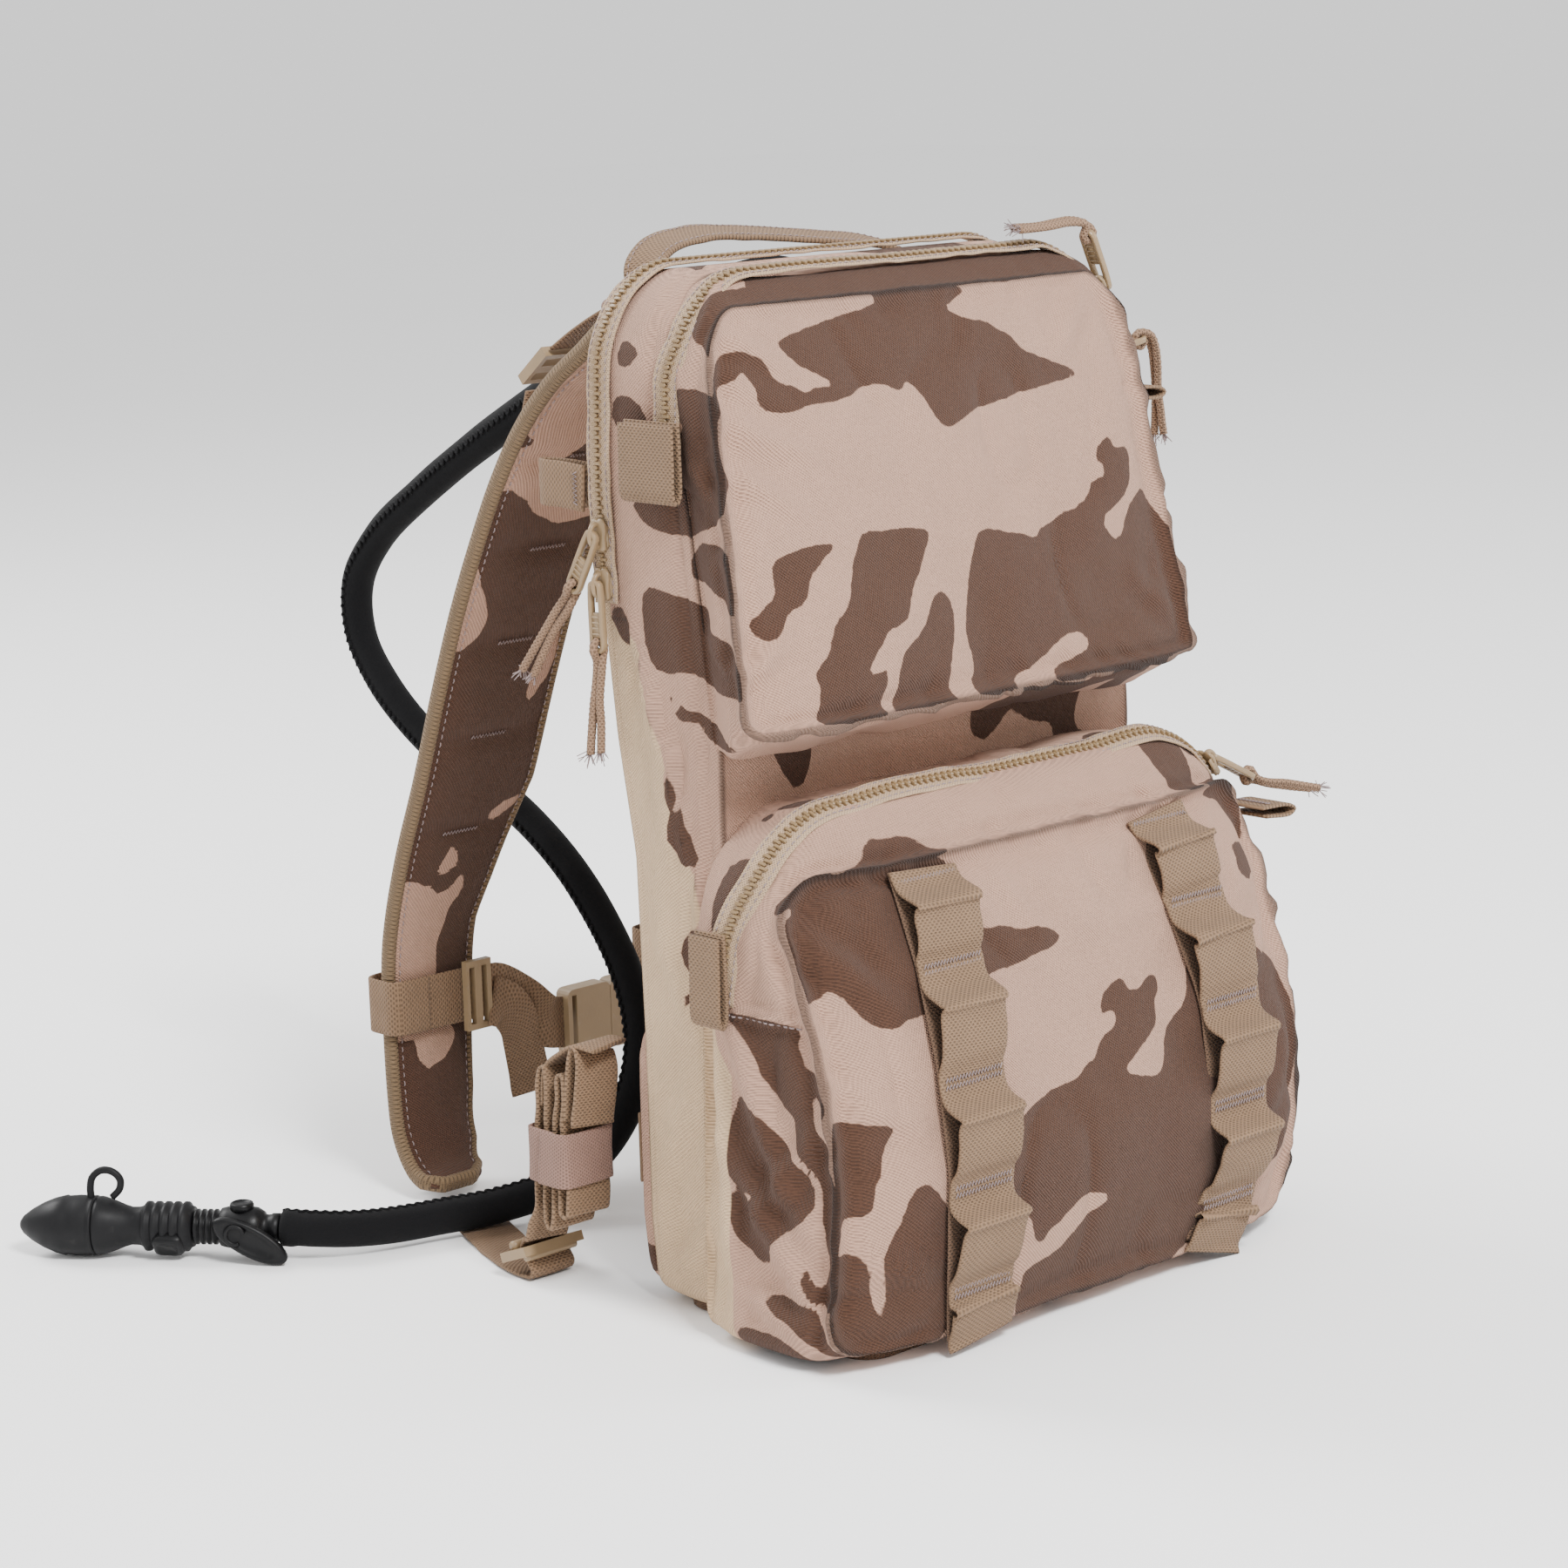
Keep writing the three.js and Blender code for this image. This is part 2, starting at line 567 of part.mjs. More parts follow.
function buildStrapWebbing() {
  const outer = offsetPath(padPath(), STRAP_PAD_THICKNESS / 2 + GAP + WEBBING_THICKNESS / 2 + 0.4);
  const lying = outer.filter((p) => p.z < 318 && p.z > 34);
  const webbingX = (z) => (z > 300 ? LOCK.x : interpolate([[30, -86], [120, -84], [300, LOCK.x - 6]], z));
  const run = [point(0, 206, 387), point(0, 211, 372), point(0, 214, 350), ...lying, point(0, 297, 24)];
  const path = run.map((p) => point(webbingX(p.z), p.y, p.z));
  const webbing = band(path, { width: WEBBING_WIDTH, thickness: WEBBING_THICKNESS });
  addPart('strap_webbing_left', webbing, 'webbing');
  addPart('strap_webbing_right', mirrored(webbing), 'webbing');
}

// Load lifter: webbing from the top seam of the bag to a ladder lock above the pad
function buildLoadLifters() {
  const run = [[106, 437], [124, 434], [150, 426], [172, 416], [188, 407]];
  const path = run.map(([y, z]) => point(LOCK.x, y, z));
  const lifter = band(path, { width: WEBBING_WIDTH, thickness: WEBBING_THICKNESS });
  addPart('load_lifter_left', lifter, 'webbing');
  addPart('load_lifter_right', mirrored(lifter), 'webbing');

  const frame = box(-15, 15, -11, 11, -2.5, 2.5);
  const slots = [-5.2, 5.2].map((y) => box(-12.6, 12.6, y - 2.6, y + 2.6, -3, 3));
  const seat = point(LOCK.x, LOCK.y - 2, LOCK.z);
  const lock = placed(cut(frame, ...slots), seat, point(0, 0.62, 0.78), point(0, -0.78, 0.62));
  addPart('ladder_lock_left', lock, 'hardware');
  addPart('ladder_lock_right', mirrored(lock), 'hardware');
}

// Sternum strap: a keeper loop round each shoulder pad, webbing to a side-release buckle
const STERNUM = { leftZ: 93, rightZ: 86, padY: 290.2, loopDepth: 16.8, loopThickness: 1.8, width: 27 };
const BUCKLE = { x: -2, y: 271, z: 69, length: 27, width: 34, thickness: 9 };
const MALE_LENGTH = 27;

function keeperLoop(z) {
  const { padY, loopDepth, loopThickness, width } = STERNUM;
  const [x0, x1] = [-110, -56.5];
  const [y0, y1] = [padY - loopDepth / 2, padY + loopDepth / 2];
  const outline = (grow) => roundedRectangle(x0 - grow, x1 + grow, y0 - grow, y1 + grow, 4);
  const ring = extrude(outline(loopThickness), width).translate(0, 0, z - width / 2);
  const hole = extrude(outline(0), width + 2).translate(0, 0, z - width / 2 - 1);
  return cut(ring, hole);
}

function buildSternumStrap() {
  const { leftZ, rightZ, padY, loopDepth, loopThickness, width } = STERNUM;
  const front = padY - loopDepth / 2 - loopThickness;
  const { x, y, z, length } = BUCKLE;
  const leftRun = smoothPath([point(-66, front - 0.6, leftZ), point(-50, front - 0.8, leftZ - 1),
    point(-36, front - 2, leftZ - 10), point(-25, y + 1, z + 3), point(x - length / 2 - 0.8, y, z)], 8);
  const leftBand = band(leftRun, { width: width - 1, thickness: WEBBING_THICKNESS, across: UP });
  addPart('sternum_webbing_left', join(keeperLoop(leftZ), leftBand), 'webbing');

  const maleEnd = x + length / 2 + GAP + MALE_LENGTH;
  const rightRun = smoothPath([point(maleEnd + 0.5, y, z), point(maleEnd + 8, y + 1.5, z + 5),
    point(57, front - 1.6, rightZ - 3), point(66, front - 1.3, rightZ)], 6);
  const rightBand = band(rightRun, { width: width - 1, thickness: WEBBING_THICKNESS, across: UP });
  addPart('sternum_webbing_right', rightBand, 'webbing');
  addPart('sternum_keeper_right', mirrored(keeperLoop(rightZ)), 'webbing');

  const face = front - 3;
  const glide = (height) => {
    const bar = (x0, x1, y0, y1, half) => box(x0, x1, y0, y1, height - half, height + half);
    const slots = [-68.6, -61.2].map((s) => bar(s - 1.6, s + 1.6, face - 5, face + 1, 14));
    return cut(bar(-72, -57, face - 3.6, face, 17), ...slots);
  };
  addPart('sternum_tri_glide_left', glide(leftZ), 'hardware');
  addPart('sternum_tri_glide_right', mirrored(glide(rightZ)), 'hardware');
}

function buildBuckle() {
  const { x, y, z, length, width, thickness } = BUCKLE;
  const x0 = x - length / 2;
  const x1 = x + length / 2;
  const half = width / 2;
  const t = thickness / 2;
  const shellShape = roundedRectangle(x0, x1, z - half, z + half, 4);
  const shell = alongY(shellShape, y - t, y + t);
  const pocket = box(x0 + 8, x1 + 1, y - 3, y + 3, z - half + 2.5, z + half - 2.5);
  const slot = box(x0 + 2.6, x0 + 5.6, y - t - 1, y + t + 1, z - 14, z + 14);
  addPart('buckle_female', cut(shell, pocket, slot), 'hardware');

  const m0 = x1 + GAP;
  const m1 = m0 + MALE_LENGTH;
  const bodyShape = roundedRectangle(m0, m1, z - half, z + half, 4);
  const slots = [m0 + 10, m0 + 19].map((s) => box(s, s + 3.4, y - t - 1, y + t + 1, z - 14, z + 14));
  const prong = (side) => box(m0 - 15, m0 + 1, y - 2.2, y + 2.2, z + side * 10 - 2.2, z + side * 10 + 2.2);
  const tongue = box(m0 - 12, m0 + 1, y - 2.2, y + 2.2, z - 3, z + 3);
  const body = cut(alongY(bodyShape, y - t, y + t), ...slots);
  addPart('buckle_male', join(body, prong(-1), prong(1), tongue), 'hardware');
}

// Lower adjusters: webbing from the side of the lumbar pad, folded into a hank, down to a
// tri-glide, then along the floor to the lower end of the shoulder pad
function buildLowerStraps() {
  const x = -135.5;
  const hank = alongX(roundedRectangle(115, 137, 30, 102, 8), x - 12.5, x + 12.5);
  const rise = band([point(x, 126, 101), point(x + 1, 114, 112), point(x + 3, 106, 112)],
    { width: WEBBING_WIDTH - 2, thickness: 3 });
  const fall = band([point(x, 133, 34), point(x, 139, 24), point(x, 142.5, 19)],
    { width: WEBBING_WIDTH - 2, thickness: 3 });
  const hankBody = join(hank, rise, fall);
  addPart('adjuster_hank_left', hankBody, 'webbing');
  addPart('adjuster_hank_right', mirrored(hankBody), 'webbing');

  const frame = box(-17, 17, -9, 9, -2.2, 2.2);
  const slots = [-4.2, 4.2].map((s) => box(-13.5, 13.5, s - 2, s + 2, -3, 3));
  const glide = placed(cut(frame, ...slots), point(x, 147, 12.6), point(0, 0.35, 0.9), point(0, -0.9, 0.35));
  addPart('adjuster_tri_glide_left', glide, 'hardware');
  addPart('adjuster_tri_glide_right', mirrored(glide), 'hardware');

  const run = smoothPath([point(x, 151, 2), point(-131, 170, 1.4), point(-122, 195, 1.4),
    point(-110, 222, 1.4), point(-98, 240, 2), point(-90, 252, 2.2)], 10);
  const lead = band(run, { width: WEBBING_WIDTH, thickness: WEBBING_THICKNESS });
  addPart('adjuster_webbing_left', lead, 'webbing');
  addPart('adjuster_webbing_right', mirrored(lead), 'webbing');
}

function buildLumbarPad() {
  const front = shiftRows(BACK_SEAM, BACK_PANEL_THICKNESS + 2 * GAP);
  const back = [[4, 90], [14, 99], [40, 103], [95, 103], [118, 97], [124, 92]];
  const pad = bagVolume(roundedRectangle(-124, 124, 4, 124, 14), sideSlab(front, back, 4, 124));
  addPart('lumbar_pad', pad, 'padding');
  const lumbarBand = box(-112, 112, 103.3, 105.1, 46, 78);
  addPart('lumbar_band', lumbarBand, 'webbing');
}

// Drink tube: from the top of the main compartment, back between the straps, down to the floor
// and out to the front left. The points are the tube's centre line.
const TUBE_ROUTE = [
  [2, 103.8, 433], [0, 116, 437], [-4, 136, 435], [-10, 165, 424], [-15, 205, 405], [-18, 258, 379],
  [-20, 309, 352], [-20, 356, 325], [-20, 393, 300], [-20, 413, 275], [-20, 413, 249], [-20, 396, 225],
  [-20, 361, 200], [-20, 325, 186], [-20, 290, 172], [-20, 258, 152], [-20, 234, 129], [-24, 212, 106],
  [-30, 197, 84], [-38, 190, 64], [-50, 189, 45], [-66, 193, 28], [-86, 202, 16], [-110, 212, 11],
  [-136, 219, 10.8], [-160, 225.5, 11], [-178, 232, 12.2], [-191.5, 241, 13.6], [-200.8, 252.3, 14.3],
];

function buildDrinkTube() {
  const route = TUBE_ROUTE.map(([x, y, z]) => point(x, y, z));
  addPart('drink_tube', tube(route, TUBE_RADIUS, 76, 10), 'neoprene');
}

// Mouthpiece pieces are turned about +Y from the tube's end and then laid along the valve's axis
const VALVE_START = point(-200.8, 252.3, 14.3);
const VALVE_AXIS = point(-0.635, 0.772, 0).normalize();
const VALVE_SIDE = point(-VALVE_AXIS.y, VALVE_AXIS.x, 0);

function onValve(geometry) {
  return placed(geometry, VALVE_START, UP, VALVE_AXIS);
}

function buildValve() {
  const shutoff = turned([[0, 1], [6.4, 1], [6.4, 10], [9, 12], [9, 28], [8, 30], [8, 41], [0, 41]], 12);
  addPart('shutoff_body', onValve(shutoff), 'rubber');

  const boot = [[0, 41.4], [9.5, 41.4], [11.5, 44], [11.5, 64], [8.6, 66], [8.6, 72], [13.4, 85], [13.4, 87],
    [6, 87], [6, 99], [4, 102], [0, 102]];
  addPart('bite_valve', onValve(turned(boot, 14)), 'rubber');

  const cap = [[9, 87.4], [13.9, 87.4], [13.9, 105], [12.4, 109], [9, 116], [4, 121], [0, 122.5],
    [0, 117], [6, 112], [9, 106], [9, 87.4]];
  addPart('bite_valve_cap', onValve(turned(cap, 14)), 'rubber');

  // The lever lies beside the body on a short pin, its long arm pointing down towards the tube
  const lever = new THREE.Shape();
  lever.absellipse(8, 0, 19, 7.2, 0, 2 * Math.PI);
  const paddle = extrude(lever, 4, 10).translate(0, 0, 9.9);
  const drop = THREE.MathUtils.degToRad(-28);
  const matrix = new THREE.Matrix4().makeBasis(
    VALVE_AXIS.clone().negate().multiplyScalar(Math.cos(drop)).addScaledVector(UP, Math.sin(drop)),
    VALVE_AXIS.clone().multiplyScalar(Math.sin(drop)).addScaledVector(UP, Math.cos(drop)),
    VALVE_SIDE,
  );
  matrix.setPosition(VALVE_START.clone().addScaledVector(VALVE_AXIS, 20).addScaledVector(UP, 1));
  addPart('shutoff_lever', paddle.applyMatrix4(matrix), 'rubber');
}

buildMainShell();
buildBackPanel();
buildBasePanel();
buildReservoir();
buildUpperPocket();
buildLowerPocket();
for (const [name, zip] of Object.entries(ZIPS)) buildZipTape(`${name}_zip_tape`, zip);
buildSliders();
buildTabs();
buildPocketWebbing();
buildHandle();
buildShoulderStraps();
buildStrapWebbing();
buildLoadLifters();
buildSternumStrap();
buildBuckle();
buildLowerStraps();
buildLumbarPad();
buildDrinkTube();
buildValve();

export default model;
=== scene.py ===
"""The looks of a hydration pack: soft camouflage compartments, zips, webbing, harness and drink tube,
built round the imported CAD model. Lengths are millimetres, but metres for the camera, cord and lights."""
import math

import bpy
import numpy as np
from mathutils import Matrix, Vector


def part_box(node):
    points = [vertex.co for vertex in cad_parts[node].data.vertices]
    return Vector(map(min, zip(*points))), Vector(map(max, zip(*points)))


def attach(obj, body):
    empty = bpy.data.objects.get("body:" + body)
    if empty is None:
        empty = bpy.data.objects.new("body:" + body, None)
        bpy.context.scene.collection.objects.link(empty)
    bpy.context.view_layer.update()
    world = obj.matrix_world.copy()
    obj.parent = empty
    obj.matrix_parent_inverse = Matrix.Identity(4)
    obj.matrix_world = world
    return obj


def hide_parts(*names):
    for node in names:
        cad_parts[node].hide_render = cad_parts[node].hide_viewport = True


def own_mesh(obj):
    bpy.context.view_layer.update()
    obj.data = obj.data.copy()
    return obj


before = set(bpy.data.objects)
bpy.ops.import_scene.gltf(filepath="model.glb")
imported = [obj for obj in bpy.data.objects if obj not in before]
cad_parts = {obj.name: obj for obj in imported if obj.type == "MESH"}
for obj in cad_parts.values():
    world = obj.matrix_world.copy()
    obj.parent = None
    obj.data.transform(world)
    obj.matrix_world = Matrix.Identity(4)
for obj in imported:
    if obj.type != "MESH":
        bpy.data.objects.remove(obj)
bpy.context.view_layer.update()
MM = 0.001
RIGHT = np.array([1.0, 0, 0])
REAR = np.array([0, 1.0, 0])
UP = np.array([0, 0, 1.0])
SIDES = ((-1, "left"), (1, "right"))

# Driving dimensions
TUBE_RADIUS = 8
STRIP_WIDTH = 38
STRAP_WIDTH = 25
WEB_THICKNESS = 1.6
ZIP_WIDTH = 14
TOOTH_PITCH = 1.85
CORD_RADIUS = 1.85


# Vectors and paths

def unit(v):
    v = np.asarray(v, float)
    return v / np.linalg.norm(v, axis=-1, keepdims=True)


def table(rows, key):
    """Value of [key, value] rows at a key, straight between the rows."""
    return np.interp(key, [r[0] for r in rows], [r[1] for r in rows])


def spline(points, step=2.0):
    """Centripetal Catmull-Rom curve through the points, sampled about every `step`."""
    p = np.asarray(points, float)
    p = np.vstack([2 * p[0] - p[1], p, 2 * p[-1] - p[-2]])
    out = []
    for i in range(1, len(p) - 2):
        p0, p1, p2, p3 = p[i - 1:i + 3]
        d0, d1, d2 = (max(np.linalg.norm(b - a) ** 0.5, 1e-6) for a, b in ((p0, p1), (p1, p2), (p2, p3)))
        t1 = ((p1 - p0) / d0 - (p2 - p0) / (d0 + d1) + (p2 - p1) / d1) * d1
        t2 = ((p2 - p1) / d1 - (p3 - p1) / (d1 + d2) + (p3 - p2) / d2) * d1
        count = max(2, int(np.linalg.norm(p2 - p1) / step) + 1)
        t = np.linspace(0, 1, count, endpoint=False)[:, None]
        out.append((2 * t**3 - 3 * t**2 + 1) * p1 + (t**3 - 2 * t**2 + t) * t1
                   + (3 * t**2 - 2 * t**3) * p2 + (t**3 - t**2) * t2)
    return np.vstack([*out, p[-2:-1]])


def lengths(path):
    return np.concatenate([[0], np.cumsum(np.linalg.norm(np.diff(path, axis=0), axis=1))])


def sampled(rows, along, at):
    """A path's rows read at other distances along it."""
    return np.stack([np.interp(at, along, rows[:, k]) for k in range(3)], axis=-1)


def even(path, step):
    """The path again, with its points about `step` apart."""
    along = lengths(path)
    return sampled(path, along, np.linspace(0, along[-1], max(2, round(along[-1] / step) + 1)))


def tangents(path):
    return unit(np.gradient(path, axis=0))


def carried_frames(path, start):
    """A side direction carried along a path without twisting, and the normal that goes with it."""
    t = tangents(path)
    sides = [np.asarray(start, float)]
    for forward in t:
        sides.append(unit(sides[-1] - forward * (sides[-1] @ forward)))
    sides = np.array(sides[1:])
    return sides, np.cross(sides, t)


def angles(count):
    """Angles evenly round a full turn."""
    return np.linspace(0, 2 * math.pi, count, endpoint=False)


def oval(half_x, half_y, count, power=1.0):
    """Points round an ellipse, or round a box with soft corners when the power is less than 1."""
    return [(math.copysign(abs(math.cos(a))**power, math.cos(a)) * half_x,
             math.copysign(abs(math.sin(a))**power, math.sin(a)) * half_y) for a in angles(count)]


# Repeatable noise

def lattice(i, seed):
    h = (i[..., 0] * 73856093) ^ (i[..., 1] * 19349663) ^ (i[..., 2] * 83492791) ^ (seed * 26544357)
    h &= 0x7FFFFFFF
    h = (h * 1103515245 + 12345) & 0x7FFFFFFF
    h ^= h >> 13
    h = (h * 69069 + 1) & 0x7FFFFFFF
    return h / 0x3FFFFFFF - 1.0


def wander(points, size, seed=1):
    """Smooth noise from -1 to 1 with features of about `size`."""
    q = np.asarray(points, float) / size
    base = np.floor(q).astype(np.int64)
    f = q - base
    f = f * f * (3 - 2 * f)
    total = 0
    for corner in range(8):
        step = np.array([corner & 1, corner >> 1 & 1, corner >> 2 & 1])
        weight = np.prod(np.where(step, f, 1 - f), axis=-1)
        total = total + weight * lattice(base + step, seed)
    return total


def wander_along(along, size, seed, lane=0.0):
    """Smooth noise along a line. Another lane gives other noise."""
    return wander(np.column_stack([along, 0 * along, 0 * along + lane]), size, seed)


# Meshes

scene = bpy.context.scene


def make(name, verts, faces, material, body="pack", slot=None, node=None, uv=None, fields=None,
         smooth=True):
    """A mesh object from millimetre vertices, riding on a CAD body and standing for its CAD node, if any."""
    mesh = bpy.data.meshes.new(name)
    mesh.from_pydata((np.asarray(verts) * MM).tolist(), [], [list(map(int, f)) for f in faces])
    mesh.validate()
    mesh.materials.append(MATERIALS[material])
    if uv is not None:
        layer = mesh.uv_layers.new(name="cloth")
        index = np.zeros(len(mesh.loops), np.int32)
        mesh.loops.foreach_get("vertex_index", index)
        layer.data.foreach_set("uv", (np.asarray(uv, np.float32)[index] * MM).ravel())
    for key, values in (fields or {}).items():
        mesh.attributes.new(key, "FLOAT", "POINT").data.foreach_set("value", np.asarray(values, np.float32))
    if smooth:
        mesh.polygons.foreach_set("use_smooth", [True] * len(mesh.polygons))
    obj = bpy.data.objects.new(name, mesh)
    scene.collection.objects.link(obj)
    slot = slot or SLOTS.get(material)
    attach(obj, body)
    if node:
        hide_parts(node)
    return obj


def grid_faces(rows, count):
    """Faces round a stack of closed rows, open at both ends."""
    return [(a + c, a + (c + 1) % count, a + count + (c + 1) % count, a + count + c)
            for a in range(0, (rows - 1) * count, count) for c in range(count)]


def closed_faces(rows, count, ends=2):
    """Faces round a stack of closed rows, capped at both ends, or at the last row alone."""
    last = (rows - 1) * count
    caps = [tuple(last + k for k in range(count)), tuple(range(count))[::-1]]
    return grid_faces(rows, count) + caps[:ends]


def merged(parts):
    """Joins (verts, faces) pairs into one."""
    verts, faces, offset = [], [], 0
    for v, f in parts:
        verts.append(np.asarray(v, float))
        faces.extend([tuple(i + offset for i in face) for face in f])
        offset += len(v)
    return np.vstack(verts), faces


def swept(path, sides, normals, outline):
    """Sweeps a closed outline of (side, normal) offsets along a path."""
    outline = np.asarray(outline, float)
    verts = path[:, None] + sides[:, None] * outline[None, :, 0:1] + normals[:, None] * outline[None, :, 1:2]
    return verts.reshape(-1, 3), closed_faces(len(path), len(outline))


BAND_SHARE = [-1, -0.985, -0.93, -0.6, -0.2, 0.2, 0.6, 0.93, 0.985, 1]
BAND_RISE = [0, 0.75, 1, 1, 1, 1, 1, 1, 0.75, 0]


def band(points, across, width, thickness, step=2.0, smooth=True, ripple=0.0, seed=3):
    """A flat swept band with rounded edges: its vertices, faces and (across, along) coordinates."""
    path = spline(points, step) if smooth else even(np.asarray(points, float), step)
    t = tangents(path)
    along = lengths(path)
    across = np.asarray(across, float)
    if across.ndim == 2 and len(across) != len(path):
        key = lengths(np.asarray(points, float))
        across = sampled(across, key, along * key[-1] / along[-1])
    across = np.broadcast_to(across, path.shape)
    side = unit(across - t * np.sum(across * t, axis=1, keepdims=True))
    normal = np.cross(side, t)
    share = np.array(BAND_SHARE + BAND_SHARE[-2:0:-1])
    rise = np.array(BAND_RISE + [-r for r in BAND_RISE[-2:0:-1]]) * thickness / 2
    reach = share * width / 2
    wave = ripple * wander_along(along, 9, seed)[:, None] * np.abs(share)**3
    verts = path[:, None] + side[:, None] * reach[None, :, None] + normal[:, None] * (rise + wave)[..., None]
    uv = np.stack(np.broadcast_arrays(reach[None], along[:, None]), axis=-1)
    return verts.reshape(-1, 3), closed_faces(len(path), len(share)), uv.reshape(-1, 2)


def webbing(name, points, across, width, thickness=WEB_THICKNESS, body="pack", material="webbing", node=None,
            **more):
    verts, faces, uv = band(points, across, width, thickness, **more)
    return make(name, verts, faces, material, body, node=node, uv=uv)


def round_tube(points, radius, sides=10, step=2.0, start=UP, smooth=True):
    """A tube with one radius, or with one at each point of a path that isn't smoothed."""
    path = spline(points, step) if smooth else np.asarray(points, float)
    side, normal = carried_frames(path, start)
    angle = angles(sides)[None, :, None]
    ring = np.cos(angle) * side[:, None] + np.sin(angle) * normal[:, None]
    verts = path[:, None] + ring * np.broadcast_to(radius, path.shape[:1])[:, None, None]
    return verts.reshape(-1, 3), closed_faces(len(path), sides)


def block(centre, x, y, z, size):
    """A small block with its edges along three directions."""
    signs = np.array([[i, j, k] for k in (-1, 1) for j in (-1, 1) for i in (-1, 1)]) / 2 * size
    verts = centre + signs[:, 0:1] * x + signs[:, 1:2] * y + signs[:, 2:3] * z
    return verts, [(0, 2, 3, 1), (4, 5, 7, 6), (0, 1, 5, 4), (2, 6, 7, 3), (0, 4, 6, 2), (1, 3, 7, 5)]


def plate(outline, origin, x, y, n, rows):
    """A piece with one outline and several (scale, height) rows, closed at both ends."""
    outline = np.asarray(outline, float)
    verts = np.vstack([origin + x * outline[:, 0:1] * grow + y * outline[:, 1:2] * grow + n * height
                       for grow, height in rows])
    return verts, closed_faces(len(rows), len(outline))


def rounded(half_x, half_y, corner, steps=6):
    """Outline of a rectangle with round corners."""
    out = []
    for quarter, (right, up) in enumerate(((1, 1), (-1, 1), (-1, -1), (1, -1))):
        cx, cy = right * half_x, up * half_y
        for k in range(steps + 1):
            a = math.radians(90 * quarter + 90 * k / steps)
            out.append((cx + math.copysign(corner, -cx) + corner * math.cos(a),
                        cy + math.copysign(corner, -cy) + corner * math.sin(a)))
    return out


def stitches(name, path, normals, pitch=3.6, length=2.3, radius=0.3, lift=0.25):
    """A row of thread stitches lying along a path."""
    along = lengths(path)
    rise = np.array([lift - radius, lift + radius * 0.4, lift - radius])[:, None]
    parts = []
    for at in np.arange(pitch / 2, along[-1] - pitch / 2, pitch):
        n = unit(sampled(normals, along, at))
        line = sampled(path, along, at + length * np.array([-0.5, 0, 0.5])) + n * rise
        parts.append(round_tube(line, radius, 5, smooth=False, start=n))
    return make(name, *merged(parts), "thread")


def zigzag(centre, along, normal, length, width, pitch=0.9, radius=0.32):
    """A bartack: close zigzag stitching along a line."""
    across = np.cross(normal, along)
    count = max(4, int(length / pitch))
    s = np.linspace(-length / 2, length / 2, count)
    side = np.where(np.arange(count) % 2, width / 2, -width / 2)
    line = centre + s[:, None] * along + side[:, None] * across + normal * 0.25
    return round_tube(line, radius, 5, smooth=False, start=normal)


def sewn(name, bars):
    """Bartacks given as (centre, along, normal, length, width)."""
    parts = [zigzag(np.array(c, float), unit(a), unit(n), length, width) for c, a, n, length, width in bars]
    return make(name, *merged(parts), "thread")


def frayed(tip, direction, seed, threads=12, reach=5.5, spread=0.5):
    """Loose threads at a cut end."""
    rng = np.random.default_rng(seed)
    parts = []
    for _ in range(threads):
        lean = unit(direction + rng.normal(0, spread, 3))
        curl = rng.normal(0, 0.6, 3)
        start = tip + rng.normal(0, 0.5, 3) - direction
        line = np.array([start, start + lean * reach * 0.5 + curl * 0.4, start + lean * reach + curl])
        parts.append(round_tube(line, 0.22, 4, step=1.5))
    return merged(parts)


# Materials

